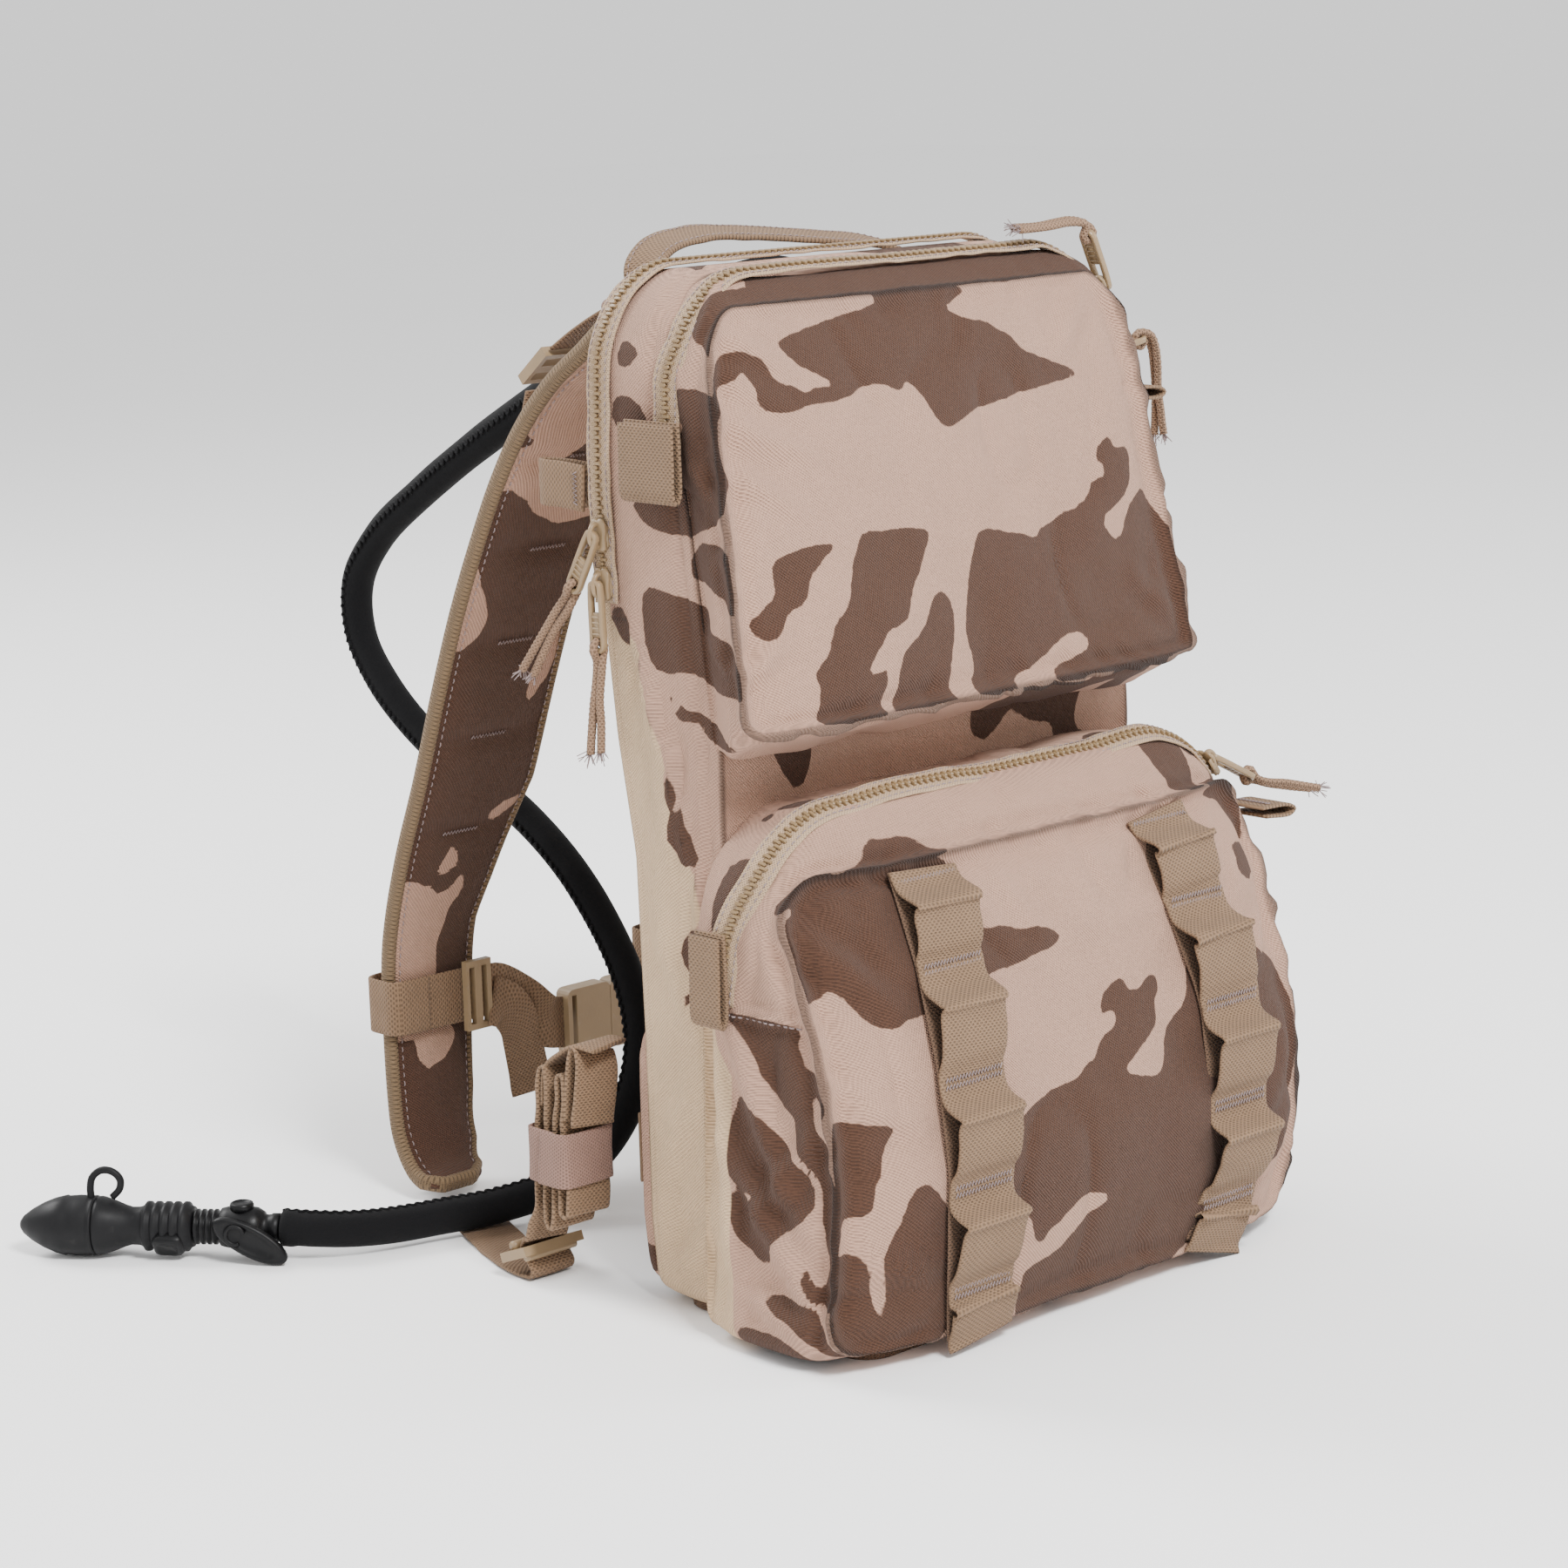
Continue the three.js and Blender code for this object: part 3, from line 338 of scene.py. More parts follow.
class Nodes:
    """Makes shader nodes and their links in one material."""

    def __init__(self, name, roughness, **shader):
        self.material = bpy.data.materials.new(name)
        self.material.use_nodes = True
        self.tree = self.material.node_tree
        self.shader = self.tree.nodes["Principled BSDF"]
        self.shader.inputs["Roughness"].default_value = roughness
        for key, value in shader.items():
            self.shader.inputs[key.replace("_", " ")].default_value = value
        self.place = self.add("TexCoord").outputs["Object"]
        self.cloth = self.add("UVMap", uv_map="cloth").outputs[0]

    def add(self, kind, **settings):
        node = self.tree.nodes.new("ShaderNode" + kind)
        for key, value in settings.items():
            setattr(node, key, value)
        return node

    def put(self, value, socket):
        if isinstance(value, bpy.types.NodeSocket):
            self.tree.links.new(value, socket)
        elif value is not None:
            socket.default_value = value

    def math(self, operation, a, b=None):
        node = self.add("Math", operation=operation)
        self.put(a, node.inputs[0])
        self.put(b, node.inputs[1])
        return node.outputs[0]

    def split(self, vector):
        node = self.add("SeparateXYZ")
        self.put(vector, node.inputs[0])
        return node.outputs

    def noise(self, size, detail=2.0, vector=None):
        """Noise from 0 to 1 with features of about `size` millimetres."""
        node = self.add("TexNoise")
        self.put(vector or self.place, node.inputs["Vector"])
        node.inputs["Scale"].default_value = 1000 / size
        node.inputs["Detail"].default_value = detail
        return node.outputs["Fac"]

    def wave(self, value, period, phase=0.0):
        """Sine of a length in metres, with a period in millimetres."""
        turned = self.math("MULTIPLY", value, 2 * math.pi * 1000 / period)
        return self.math("SINE", self.math("ADD", turned, phase))

    def field(self, name):
        return self.add("Attribute", attribute_name=name).outputs["Fac"]

    def ramp(self, value, low, high, to_low=0.0, to_high=1.0):
        node = self.add("MapRange", clamp=True)
        for k, v in enumerate((value, low, high, to_low, to_high)):
            self.put(v, node.inputs[k])
        return node.outputs[0]

    def mix(self, share, a, b, blend="MIX"):
        node = self.add("Mix", data_type="RGBA", blend_type=blend, clamp_result=True)
        self.put(share, node.inputs[0])
        for value, socket in ((a, node.inputs[6]), (b, node.inputs[7])):
            self.put([*value, 1] if isinstance(value, (list, tuple)) else value, socket)
        return node.outputs[2]

    def scale(self, colour, factor):
        node = self.add("VectorMath", operation="SCALE")
        self.put(colour, node.inputs[0])
        self.put(factor, node.inputs["Scale"])
        return node.outputs[0]

    def shade(self, colour, value, amount):
        """Colour made darker and lighter by a value from 0 to 1."""
        return self.scale(colour, self.ramp(value, 0, 1, 1 - amount, 1 + amount))

    def finish(self, colour, bumps):
        """Sets the base colour and stacks (height, depth in mm) bumps."""
        plain = isinstance(colour, (list, tuple))
        self.put([*colour, 1] if plain else colour, self.shader.inputs["Base Color"])
        normal = None
        for height, depth in bumps:
            bump = self.add("Bump")
            bump.inputs["Distance"].default_value = depth * MM
            self.put(height, bump.inputs["Height"])
            self.put(normal, bump.inputs["Normal"])
            normal = bump.outputs["Normal"]
        self.put(normal, self.shader.inputs["Normal"])
        return self.material


def twill(n, period=1.5):
    """Height of a woven cloth with slanting ribs, from -1 to 1."""
    x, y, z = n.split(n.place)
    level = n.math("ADD", x, n.math("MULTIPLY", y, 0.8))
    rib = n.wave(n.math("ADD", level, z), period)
    cross = n.wave(n.math("SUBTRACT", level, n.math("MULTIPLY", z, 0.7)), period * 0.8)
    return n.math("ADD", n.math("MULTIPLY", rib, 0.6), n.math("MULTIPLY", cross, 0.4))


LIGHT_CAMO = [0.41, 0.245, 0.175]
BROWN_CAMO = [0.067, 0.0305, 0.0178]
TAN_CLOTH = [0.52, 0.365, 0.225]
WEB_TAN = [0.185, 0.115, 0.068]


def cloth_material(name, camouflage=True):
    """Woven cloth. Camouflage follows the mesh's camo field and its tan field; its distance to a seam darkens
    the colour there as painted shade.
    """
    n = Nodes(name, 0.88, Sheen_Weight=0.06, Sheen_Roughness=0.6, Specular_IOR_Level=0.18)
    weave = twill(n)
    slub = n.noise(0.9, 1.0)
    mottled = n.noise(26, 3.0)
    light = n.shade(TAN_CLOTH, mottled, 0.08)
    if camouflage:
        ragged = n.math("ADD", n.field("camo"), n.ramp(n.noise(5, 3.0), 0, 1, -1.0, 1.0))
        brown = n.ramp(ragged, -0.25, 0.25, 1, 0)
        camo = n.mix(brown, n.shade(LIGHT_CAMO, mottled, 0.07), n.shade(BROWN_CAMO, slub, 0.16))
        plain = n.ramp(n.field("tan"), -0.3, 0.3, 0, 1)
        light = n.mix(plain, camo, light)
    colour = n.shade(light, n.ramp(weave, -1, 1), 0.25)
    colour = n.shade(colour, slub, 0.10)
    # Painted shade: the colour darkens to 35% within about 2 mm of a seam, standing in for the shadow in the
    # seam's valley.
    if camouflage:
        colour = n.scale(colour, n.ramp(n.field("seam"), 0.4, 2.2, 0.35, 1.0))
    return n.finish(colour, [(mottled, 1.8), (n.noise(9, 2.0), 0.5), (weave, 0.28), (slub, 0.15)])


def webbing_material(name, colour, across=2.5, along=2.3, depth=0.35):
    """Woven webbing, drawn along the band."""
    n = Nodes(name, 0.8, Sheen_Weight=0.05, Sheen_Roughness=0.5, Specular_IOR_Level=0.2)
    u, v, _ = n.split(n.cloth)
    knots = n.math("MULTIPLY", n.wave(u, across), n.wave(v, along))
    rows = n.wave(v, along / 2, 1.2)
    weave = n.math("ADD", n.math("MULTIPLY", knots, 0.65), n.math("MULTIPLY", rows, 0.35))
    fuzz = n.noise(0.7, 1.0)
    worn = n.noise(14, 3.0)
    tone = n.shade(colour, n.ramp(weave, -1, 1), 0.46)
    tone = n.shade(tone, worn, 0.10)
    return n.finish(n.shade(tone, fuzz, 0.12), [(weave, depth), (fuzz, 0.12)])


def plastic_material(name, colour, roughness=0.45, grain=0.05, size=1.2, shine=0.4, scuffed=0.10):
    """Moulded plastic or rubber with a fine grain, slight clouding and scuffs."""
    n = Nodes(name, roughness, Specular_IOR_Level=shine)
    grit = n.noise(size, 3.0)
    cloud = n.noise(12, 4.0)
    scuff = n.ramp(n.noise(4, 6.0), 0.62, 0.75)
    tone = n.mix(n.math("MULTIPLY", scuff, scuffed), n.shade(colour, cloud, 0.12), [0.35, 0.33, 0.30])
    n.put(n.ramp(cloud, 0.3, 0.7, roughness - 0.08, roughness + 0.12), n.shader.inputs["Roughness"])
    return n.finish(tone, [(grit, grain), (cloud, grain * 1.5)])


def neoprene_material():
    n = Nodes("neoprene_cloth", 0.95, Sheen_Weight=0.03, Sheen_Roughness=0.5, Specular_IOR_Level=0.15)
    knit = n.noise(0.8, 2.0)
    lint = n.ramp(n.noise(1.6, 4.0), 0.70, 0.78)
    black = n.shade([0.0042, 0.0042, 0.0048], knit, 0.3)
    colour = n.mix(n.math("MULTIPLY", lint, 0.12), black, [0.06, 0.06, 0.06])
    return n.finish(colour, [(knit, 0.12), (n.noise(18, 2.0), 0.9)])


def film_material():
    n = Nodes("reservoir_skin", 0.25, Transmission_Weight=0.5, Specular_IOR_Level=0.5)
    wrinkle = n.noise(15, 4.0)
    return n.finish(n.shade([0.10, 0.22, 0.30], wrinkle, 0.15), [(wrinkle, 0.8)])


MATERIALS = {
    "camo": cloth_material("camouflage_cloth"),
    "tan": cloth_material("tan_cloth", camouflage=False),
    "webbing": webbing_material("tan_webbing", WEB_TAN),
    "dark_webbing": webbing_material("backing_webbing", [0.115, 0.068, 0.043]),
    "elastic": webbing_material("elastic_tape", [0.21, 0.125, 0.098], across=1.6, along=2.2, depth=0.2),
    "binding": webbing_material("edge_binding", [0.155, 0.102, 0.057], across=6.0, along=2.2, depth=0.35),
    "tape": webbing_material("zip_tape_cloth", [0.37, 0.26, 0.168], across=1.4, along=1.6, depth=0.15),
    "thread": plastic_material("sewing_thread", [0.25, 0.19, 0.185], 0.7, 0.02, 0.4),
    "coil": plastic_material("zip_teeth", [0.22, 0.145, 0.073], 0.4),
    "hardware": plastic_material("moulded_acetal", [0.26, 0.18, 0.100], 0.42),
    "slider": plastic_material("coated_slider", [0.25, 0.17, 0.092], 0.36),
    "cord": webbing_material("braided_cord", [0.22, 0.135, 0.085], across=1.8, along=2.4, depth=0.3),
    "rubber": plastic_material("moulded_rubber", [0.0075, 0.0075, 0.0082], 0.5, 0.04, 0.8, 0.16, 0.015),
    "black": plastic_material("black_plastic", [0.004, 0.004, 0.0045], 0.42, 0.03, 0.8, 0.2, 0.015),
    "neoprene": neoprene_material(),
    "film": film_material(),
}
SLOTS = {
    "camo": "camouflage", "tan": "tan_fabric", "webbing": "webbing", "dark_webbing": "webbing",
    "elastic": "webbing", "binding": "webbing", "tape": "zip", "coil": "zip", "hardware": "hardware",
    "slider": "slider_metal", "cord": "pull_cord", "rubber": "valve_rubber", "black": "valve_rubber",
    "neoprene": "tube_cover", "film": "reservoir_film",
}


# Camera, from the front left and slightly above

def add_camera():
    azimuth, elevation, roll = (math.radians(a) for a in (-43.08, 11.63, -1.63))
    back = np.array([math.sin(azimuth) * math.cos(elevation), -math.cos(azimuth) * math.cos(elevation),
                     math.sin(elevation)])
    level = np.array([math.cos(azimuth), math.sin(azimuth), 0])
    upright = np.cross(back, level)
    right = level * math.cos(roll) + upright * math.sin(roll)
    up = upright * math.cos(roll) - level * math.sin(roll)
    data = bpy.data.cameras.new("camera")
    data.lens = 88.17
    data.sensor_width = 36
    data.clip_end = 100
    camera = bpy.data.objects.new("camera", data)
    matrix = Matrix.Identity(4)
    for row in range(3):
        matrix[row][0], matrix[row][1], matrix[row][2] = right[row], up[row], back[row]
    matrix.translation = Vector((-1.17458, -1.13134, 0.55897))
    camera.matrix_world = matrix
    scene.collection.objects.link(camera)
    scene.camera = camera


# Drink tube and mouthpiece

TUBE_ROUTE = [
    [2, 103.8, 433], [0, 116, 437], [-4, 136, 435], [-10, 165, 424], [-15, 205, 405], [-18, 258, 379],
    [-20, 309, 352], [-20, 356, 325], [-20, 393, 300], [-20, 413, 275], [-20, 413, 249], [-20, 396, 225],
    [-20, 361, 200], [-20, 325, 186], [-20, 290, 172], [-20, 258, 152], [-20, 234, 129], [-24, 212, 106],
    [-30, 197, 84], [-38, 190, 64], [-50, 189, 45], [-66, 193, 28], [-86, 202, 16], [-110, 212, 11],
    [-136, 219, 10.8], [-160, 225.5, 11], [-178, 232, 12.2], [-191.5, 241, 13.6], [-200.8, 252.3, 14.3],
]
VALVE_START = np.array([-200.8, 252.3, 14.3])
VALVE_AXIS = unit([-0.635, 0.772, 0])
VALVE_SIDE = np.array([-VALVE_AXIS[1], VALVE_AXIS[0], 0])


def on_valve(along, side=0.0, up=0.0):
    return VALVE_START + VALVE_AXIS * along + VALVE_SIDE * side + UP * up


def turned(profile, sides=32, lobes=0, lobe_depth=0.0):
    """A turned piece about the valve's axis, from (radius, distance) rows."""
    flute = 1 + lobe_depth * np.cos(angles(sides) * lobes)
    verts = [on_valve(s) + r * f * (math.cos(a) * VALVE_SIDE + math.sin(a) * UP)
             for r, s in profile for a, f in zip(angles(sides), flute)]
    return np.array(verts), closed_faces(len(profile), sides)


def build_tube():
    path = even(spline(TUBE_ROUTE, 2.0), 2.5)
    swell = TUBE_RADIUS + 0.22 * wander_along(lengths(path), 22, 5)
    swell[-3:] = TUBE_RADIUS + 0.5
    verts, faces = round_tube(path, swell, 22, smooth=False, start=RIGHT)
    tube = make("drink_tube_sleeve", verts, faces, "neoprene", node="drink_tube")

    # The sleeve is closed along one side with an overlocked edge
    side, normal = carried_frames(path, (-0.5, -1.0, -0.2))
    ridge = path + side * (TUBE_RADIUS - 0.1)
    fine = even(ridge, 1.1)
    key = lengths(fine)
    cross = sampled(normal, lengths(ridge), key)
    lift = sampled(side, lengths(ridge), key)
    overlock = fine + cross * (1.5 * np.sin(key * 2 * math.pi / 4.4))[:, None] + lift * 0.35
    verts, faces = round_tube(overlock, 0.75, 6, smooth=False)
    return tube, make("drink_tube_seam", verts, faces, "neoprene"), path


def build_shutoff():
    """Housing with ribs towards the mouthpiece, and a knob with a raised rim on top."""
    housing = [(5.2, 1), (6.6, 1.4), (6.6, 5), (6.0, 5.6), (6.0, 8.4), (7.4, 9), (9.2, 12), (9.6, 15),
               (9.6, 25), (8.8, 28.5), (6.6, 29.5)]
    for start in (30.2, 33.1, 36.0, 38.9):
        housing += [(6.4, start), (8.2, start + 0.7), (8.2, start + 1.6), (6.4, start + 2.3)]
    housing += [(6.6, 41), (5, 41.2)]
    verts, faces = turned(housing)
    body = make("shutoff_housing", verts, faces, "black", node="shutoff_body")
    rows = [(5.4, 7.5), (5.6, 10.5), (5.2, 11.6), (4.3, 12), (4.0, 11.4), (1.2, 11.2), (0.4, 11.2)]
    verts, faces = plate(oval(1, 1, 24), on_valve(19), VALVE_AXIS, VALVE_SIDE, UP, rows)
    return [body, make("shutoff_knob", verts, faces, "black")]


def build_mouthpiece():
    """Bellows boot, neck and the soft mouth under the cap, with a rounded push button on the boot."""
    boot = [(6, 41.6), (9.2, 41.8)]
    for k in range(5):
        start = 43.4 + 4.4 * k
        boot += [(9.8, start), (11.4, start + 1.0), (11.5, start + 2.6), (9.9, start + 3.7)]
    boot += [(9.4, 65.6), (8.8, 67), (8.7, 71), (9.6, 74), (11.6, 79), (13.1, 83.5), (13.5, 85.4),
             (13.4, 86.9), (11.8, 87), (6.2, 87), (6, 99), (4, 101.6), (0.6, 102)]
    verts, faces = turned(boot, 36)
    mouth = make("bite_valve_boot", verts, faces, "rubber", node="bite_valve")
    outward = unit(VALVE_SIDE * 0.8 - UP * 0.6)
    rows = [(1.12, 7.0), (1.12, 11.2), (1.0, 12.6), (0.72, 13.1), (0.66, 12.5), (0.05, 12.4)]
    level = np.cross(outward, VALVE_AXIS)
    verts, faces = plate(oval(6.6, 5.4, 28, 0.5), on_valve(52), VALVE_AXIS, level, outward, rows)
    return [mouth, make("valve_button", verts, faces, "black")]


def build_cap():
    """Torpedo cap and its tether ring, which come off together."""
    profile = [(12.2, 87.3), (13.6, 87.4), (13.8, 88.6), (13.3, 89.2), (13.7, 90.4), (13.8, 96), (13.4, 101),
               (13.8, 102), (12.6, 107), (10.4, 112.5), (7.4, 118), (4.4, 122), (2.0, 123.8), (0.3, 124.2)]
    verts, faces = turned(profile, 36, lobes=10, lobe_depth=0.006)
    hood = make("valve_cap_hood", verts, faces, "rubber", "valve_cap", node="bite_valve_cap")
    ring = [(79.6, 13.6), (76.0, 17.6), (75.6, 22.2), (79.2, 25.8), (84.4, 26.2), (88.6, 22.8), (89.8, 17.8),
            (89.6, 12.4)]
    verts, faces = round_tube([on_valve(along, 0, up) for along, up in ring], 1.7, step=1.0, start=VALVE_SIDE)
    return [hood, make("valve_tether_ring", verts, faces, "rubber", "valve_cap")]


def build_lever():
    """Oval lever on its pin beside the housing, its long arm towards the tube, with a spring clip."""
    drop = math.radians(-28)
    arm = -VALVE_AXIS * math.cos(drop) + UP * math.sin(drop)
    tall = np.cross(VALVE_SIDE, arm)
    pivot = on_valve(20, 0, 1)
    rows = [(0.86, 9.9), (1.0, 10.6), (1.0, 12.8), (0.9, 13.7), (0.72, 13.8), (0.66, 13.1), (0.05, 13.0)]
    verts, faces = plate(oval(19, 7.2, 36), pivot + arm * 8, arm, tall, VALVE_SIDE, rows)
    lever = make("shutoff_paddle", verts, faces, "black", "valve_lever", node="shutoff_lever")
    clip = [pivot + VALVE_SIDE * 14.2 + arm * (1 + 4.2 * math.cos(a)) + tall * 4.2 * math.sin(a)
            for a in np.linspace(0.7, 2 * math.pi - 0.7, 24)]
    verts, faces = round_tube(clip, 0.9, 8, start=VALVE_SIDE)
    return [lever, make("lever_clip", verts, faces, "black", "valve_lever")]


# Camouflage: brown blotches, as outlines in width and height

NOT_PLAIN = -5.0

UPPER_BLOTCHES = [
    [(-48, 440), (-30, 443), (-18, 454), (16, 454), (24, 440), (18, 435), (28, 431), (20, 427), (12, 425),
     (22, 419), (33, 418), (40, 413), (47, 411), (50, 405), (60, 401), (72, 397), (85, 392), (82, 389),
     (65, 388), (48, 386), (28, 383), (16, 382), (6, 379), (-4, 375), (-10, 379), (-15, 391), (-22, 398),
     (-26, 392), (-34, 397), (-46, 397), (-60, 392), (-80, 392), (-92, 389), (-104, 392), (-105, 402),
     (-110, 409), (-116, 403), (-122, 403), (-125, 392), (-129, 392), (-127, 409), (-115, 416), (-107, 416),
     (-97, 411), (-94, 402), (-84, 400), (-79, 396), (-74, 399), (-63, 398), (-67, 402), (-80, 408),
     (-86, 414), (-89, 418), (-78, 421), (-60, 424), (-40, 427), (-27, 429), (-27, 432), (-38, 438)],
    [(-78, 335), (-90, 336), (-104, 334), (-113, 330), (-111, 317), (-120, 312), (-127, 308), (-124, 301),
     (-117, 299), (-110, 305), (-107, 311), (-98, 312), (-95, 322), (-86, 330)],
    [(-62, 339), (-52, 337), (-40, 338), (-24, 335), (-29, 327), (-34, 318), (-41, 311), (-45, 301),
     (-52, 298), (-59, 297), (-64, 291), (-74, 280), (-66, 280), (-61, 282), (-62, 275), (-67, 267),
     (-66, 250), (-104, 250), (-102, 268), (-98, 278), (-101, 284), (-91, 291), (-87, 303), (-76, 310),
     (-73, 322), (-67, 334)],
    [(-22, 310), (-29, 307), (-33, 300), (-38, 294), (-50, 288), (-54, 281), (-56, 272), (-58, 267),
     (-64, 262), (-64, 250), (-30, 250), (-26, 270), (-22, 282), (-17, 292), (-17, 302)],
    [(5, 331), (14, 331), (24, 328), (33, 327), (41, 323), (47, 328), (57, 329), (63, 333), (70, 332),
     (75, 336), (80, 336), (84, 344), (91, 344), (93, 350), (88, 352), (91, 359), (98, 363), (101, 356),
     (110, 357), (111, 350), (107, 337), (96, 332), (84, 326), (92, 317), (97, 317), (104, 329), (112, 335),
     (120, 338), (145, 300), (145, 250), (27, 250), (36, 266), (48, 269), (62, 272), (66, 276), (62, 281),
     (50, 281), (38, 275), (24, 269), (18, 268), (8, 264), (2, 250), (-12, 250), (-13, 268), (-8, 272),
     (-8, 280), (-11, 287), (-9, 298), (-4, 312), (1, 323)],
    [(-142, 372), (-130, 371), (-125, 366), (-126, 360), (-134, 357), (-142, 358)],
    [(36, 437), (44, 433), (56, 433), (64, 436), (50, 440)],
]
LOWER_BLOTCHES = [
    [(-155, 212), (-100, 214), (-75, 208), (-55, 203), (-60, 190), (-58, 176), (-50, 174), (-38, 174),
     (-32, 170), (-22, 171), (-14, 168), (-9, 164), (-13, 161), (-28, 159), (-38, 157), (-52, 157),
     (-70, 150), (-92, 147), (-104, 147), (-112, 143), (-122, 149), (-127, 158), (-133, 163), (-138, 158),
     (-155, 160), (-155, 191), (-138, 192), (-137, 195), (-150, 199)],
    [(-155, 111), (-140, 111), (-128, 108), (-120, 107), (-119, 103), (-124, 98), (-126, 88), (-130, 83),
     (-131, 70), (-143, 71), (-144, 58), (-155, 58)],
    [(-155, 55), (-139, 56), (-134, 52), (-130, 40), (-126, 25), (-123, 25), (-122, 36), (-126, 44),
     (-129, 54), (-121, 60), (-117, 72), (-113, 80), (-107, 81), (-100, 74), (-95, 66), (-94, 50),
     (-90, 38), (-89, 15), (-98, 5), (-104, -8), (-155, -8)],
    [(-62, 92), (-50, 97), (-42, 100), (-28, 104), (-12, 105), (-8, 110), (-1, 111), (3, 118), (12, 121),
     (15, 126), (12, 129), (6, 128), (9, 136), (20, 141), (24, 139), (26, 134), (33, 134), (39, 138),
     (45, 138), (46, 132), (39, 126), (40, 117), (25, 110), (12, 102), (23, 99), (31, 96), (39, 99),
     (44, 114), (53, 118), (61, 125), (65, 141), (72, 150), (88, 150), (100, 134), (108, 137), (116, 137),
     (121, 131), (130, 131), (145, 110), (145, 60), (118, 40), (108, 36), (100, 20), (104, -8), (72, -8),
     (67, 14), (55, 13), (44, 6), (34, -8), (-52, -8), (-52, 27), (-45, 30), (-30, 33), (-22, 39),
     (-12, 46), (0, 50), (-6, 54), (-16, 55), (-24, 51), (-30, 46), (-38, 44), (-40, 38), (-46, 42),
     (-47, 52), (-58, 60)],
    [(118, 178), (125, 180), (133, 177), (132, 165), (126, 162), (117, 169), (121, 174)],
    [(112, 203), (125, 206), (142, 207), (142, 175), (134, 180), (130, 196), (122, 198)],
]
# The left side, as depth and height
UPPER_SIDE_BLOTCHES = [
    [(78, 354), (72, 345), (60, 341), (44, 340), (30, 344), (15, 350), (12, 356), (0, 358), (0, 374),
     (14, 376), (17, 392), (45, 388), (50, 362), (60, 358)],
    [(43, 328), (40, 335), (33, 339), (20, 339), (10, 338), (0, 320), (0, 312), (10, 312), (18, 318),
     (30, 322), (40, 322)],
    [(70, 317), (65, 318), (50, 315), (32, 312), (28, 302), (12, 301), (2, 290), (-5, 277), (20, 277),
     (30, 278), (40, 284), (55, 282), (62, 282), (70, 290), (72, 305)],
    [(56, 276), (48, 268), (38, 267), (25, 262), (15, 258), (12, 254), (20, 253), (32, 255), (40, 262),
     (50, 262), (54, 268)],
    [(45, 402), (35, 402), (22, 400), (15, 395), (18, 386), (45, 386), (50, 395)],
    [(34, 448), (16, 446), (12, 432), (16, 412), (28, 415), (36, 420), (45, 427), (42, 440)],
    [(82, 420), (74, 419), (68, 414), (76, 408), (84, 410)],
    [(86, 398), (72, 396), (64, 388), (70, 380), (90, 384)],
]
MAIN_SIDE_BLOTCHES = UPPER_SIDE_BLOTCHES + [
    [(58, 242), (61, 236), (59, 229), (56, 226), (55, 220), (59, 215), (58, 210), (54, 207), (52, 201),
     (43, 199), (40, 202), (44, 213), (50, 226), (55, 236)],
    [(45, 176), (52, 168), (55, 160), (47, 154), (44, 149), (53, 143), (54, 137), (47, 141), (40, 150),
     (37, 157), (35, 148), (33, 138), (28, 124), (25, 124), (28, 142), (33, 160), (37, 171)],
    [(98, 306), (84, 308), (80, 300), (76, 292), (84, 290), (92, 300)],
]
LOWER_SIDE_BLOTCHES = [
    [(15, 209), (-8, 213), (-5, 204), (-2, 190), (3, 178), (6, 165), (5, 150), (9, 150), (13, 165),
     (15, 180), (17, 195)],
    [(9, 148), (-1, 149), (-34, 149), (-32, 139), (-38, 130), (-44, 131), (-52, 118), (-52, 112),
     (-46, 118), (-41, 122), (-42, 110), (-47, 104), (-52, 98), (-55, 82), (-60, 84), (-60, 52), (-55, 30),
     (-42, 32), (-36, 38), (-34, 46), (-38, 46), (-42, 38), (-46, 42), (-48, 54), (-45, 66), (-45, 74),
     (-45, 84), (-34, 95), (-31, 104), (-32, 110), (-24, 114), (-18, 118), (-12, 126), (-9, 133), (-4, 139),
     (2, 144)],
    [(3, 114), (-6, 112), (-16, 107), (-27, 96), (-38, 86), (-42, 79), (-42, 72), (-30, 62), (-21, 57),
     (-15, 44), (-12, 42), (-3, 47), (3, 50), (8, 60), (8, 72), (-6, 74), (-10, 72), (-5, 69), (8, 76),
     (9, 92), (6, 104)],
    [(-12, 30), (-20, 32), (-32, 31), (-42, 30), (-44, 22), (-48, 8), (-44, 6), (-38, 14), (-30, 22),
     (-20, 24)],
    [(4, 13), (-8, 14), (-24, 14), (-34, 8), (-38, 0), (0, 0), (6, 6)],
    [(-22, 192), (-28, 196), (-34, 205), (-30, 212), (-24, 204), (-18, 196)],
]


# The lower pocket's top, as width and depth
LOWER_TOP_BLOTCHES = [
    [(-108, 12), (-100, 2), (-60, -2), (-48, 4), (-58, 13), (-84, 16), (-100, 22)],
    [(-54, -36), (-62, -29), (-78, -24), (-92, -22), (-98, -26), (-108, -28), (-120, -34), (-125, -42),
     (-90, -48)],
    [(-116, 14), (-110, 12), (-108, 18), (-112, 20)],
    [(64, 0), (84, -4), (92, -30), (110, -40), (118, -10), (100, 6), (78, 10)],
]


def smoothed(outline, times=2):
    """The outline with its corners cut."""
    p = np.array(outline, float)
    for _ in range(times):
        after = np.roll(p, -1, axis=0)
        p = np.stack([0.75 * p + 0.25 * after, 0.25 * p + 0.75 * after], axis=1).reshape(-1, 2)
    return p


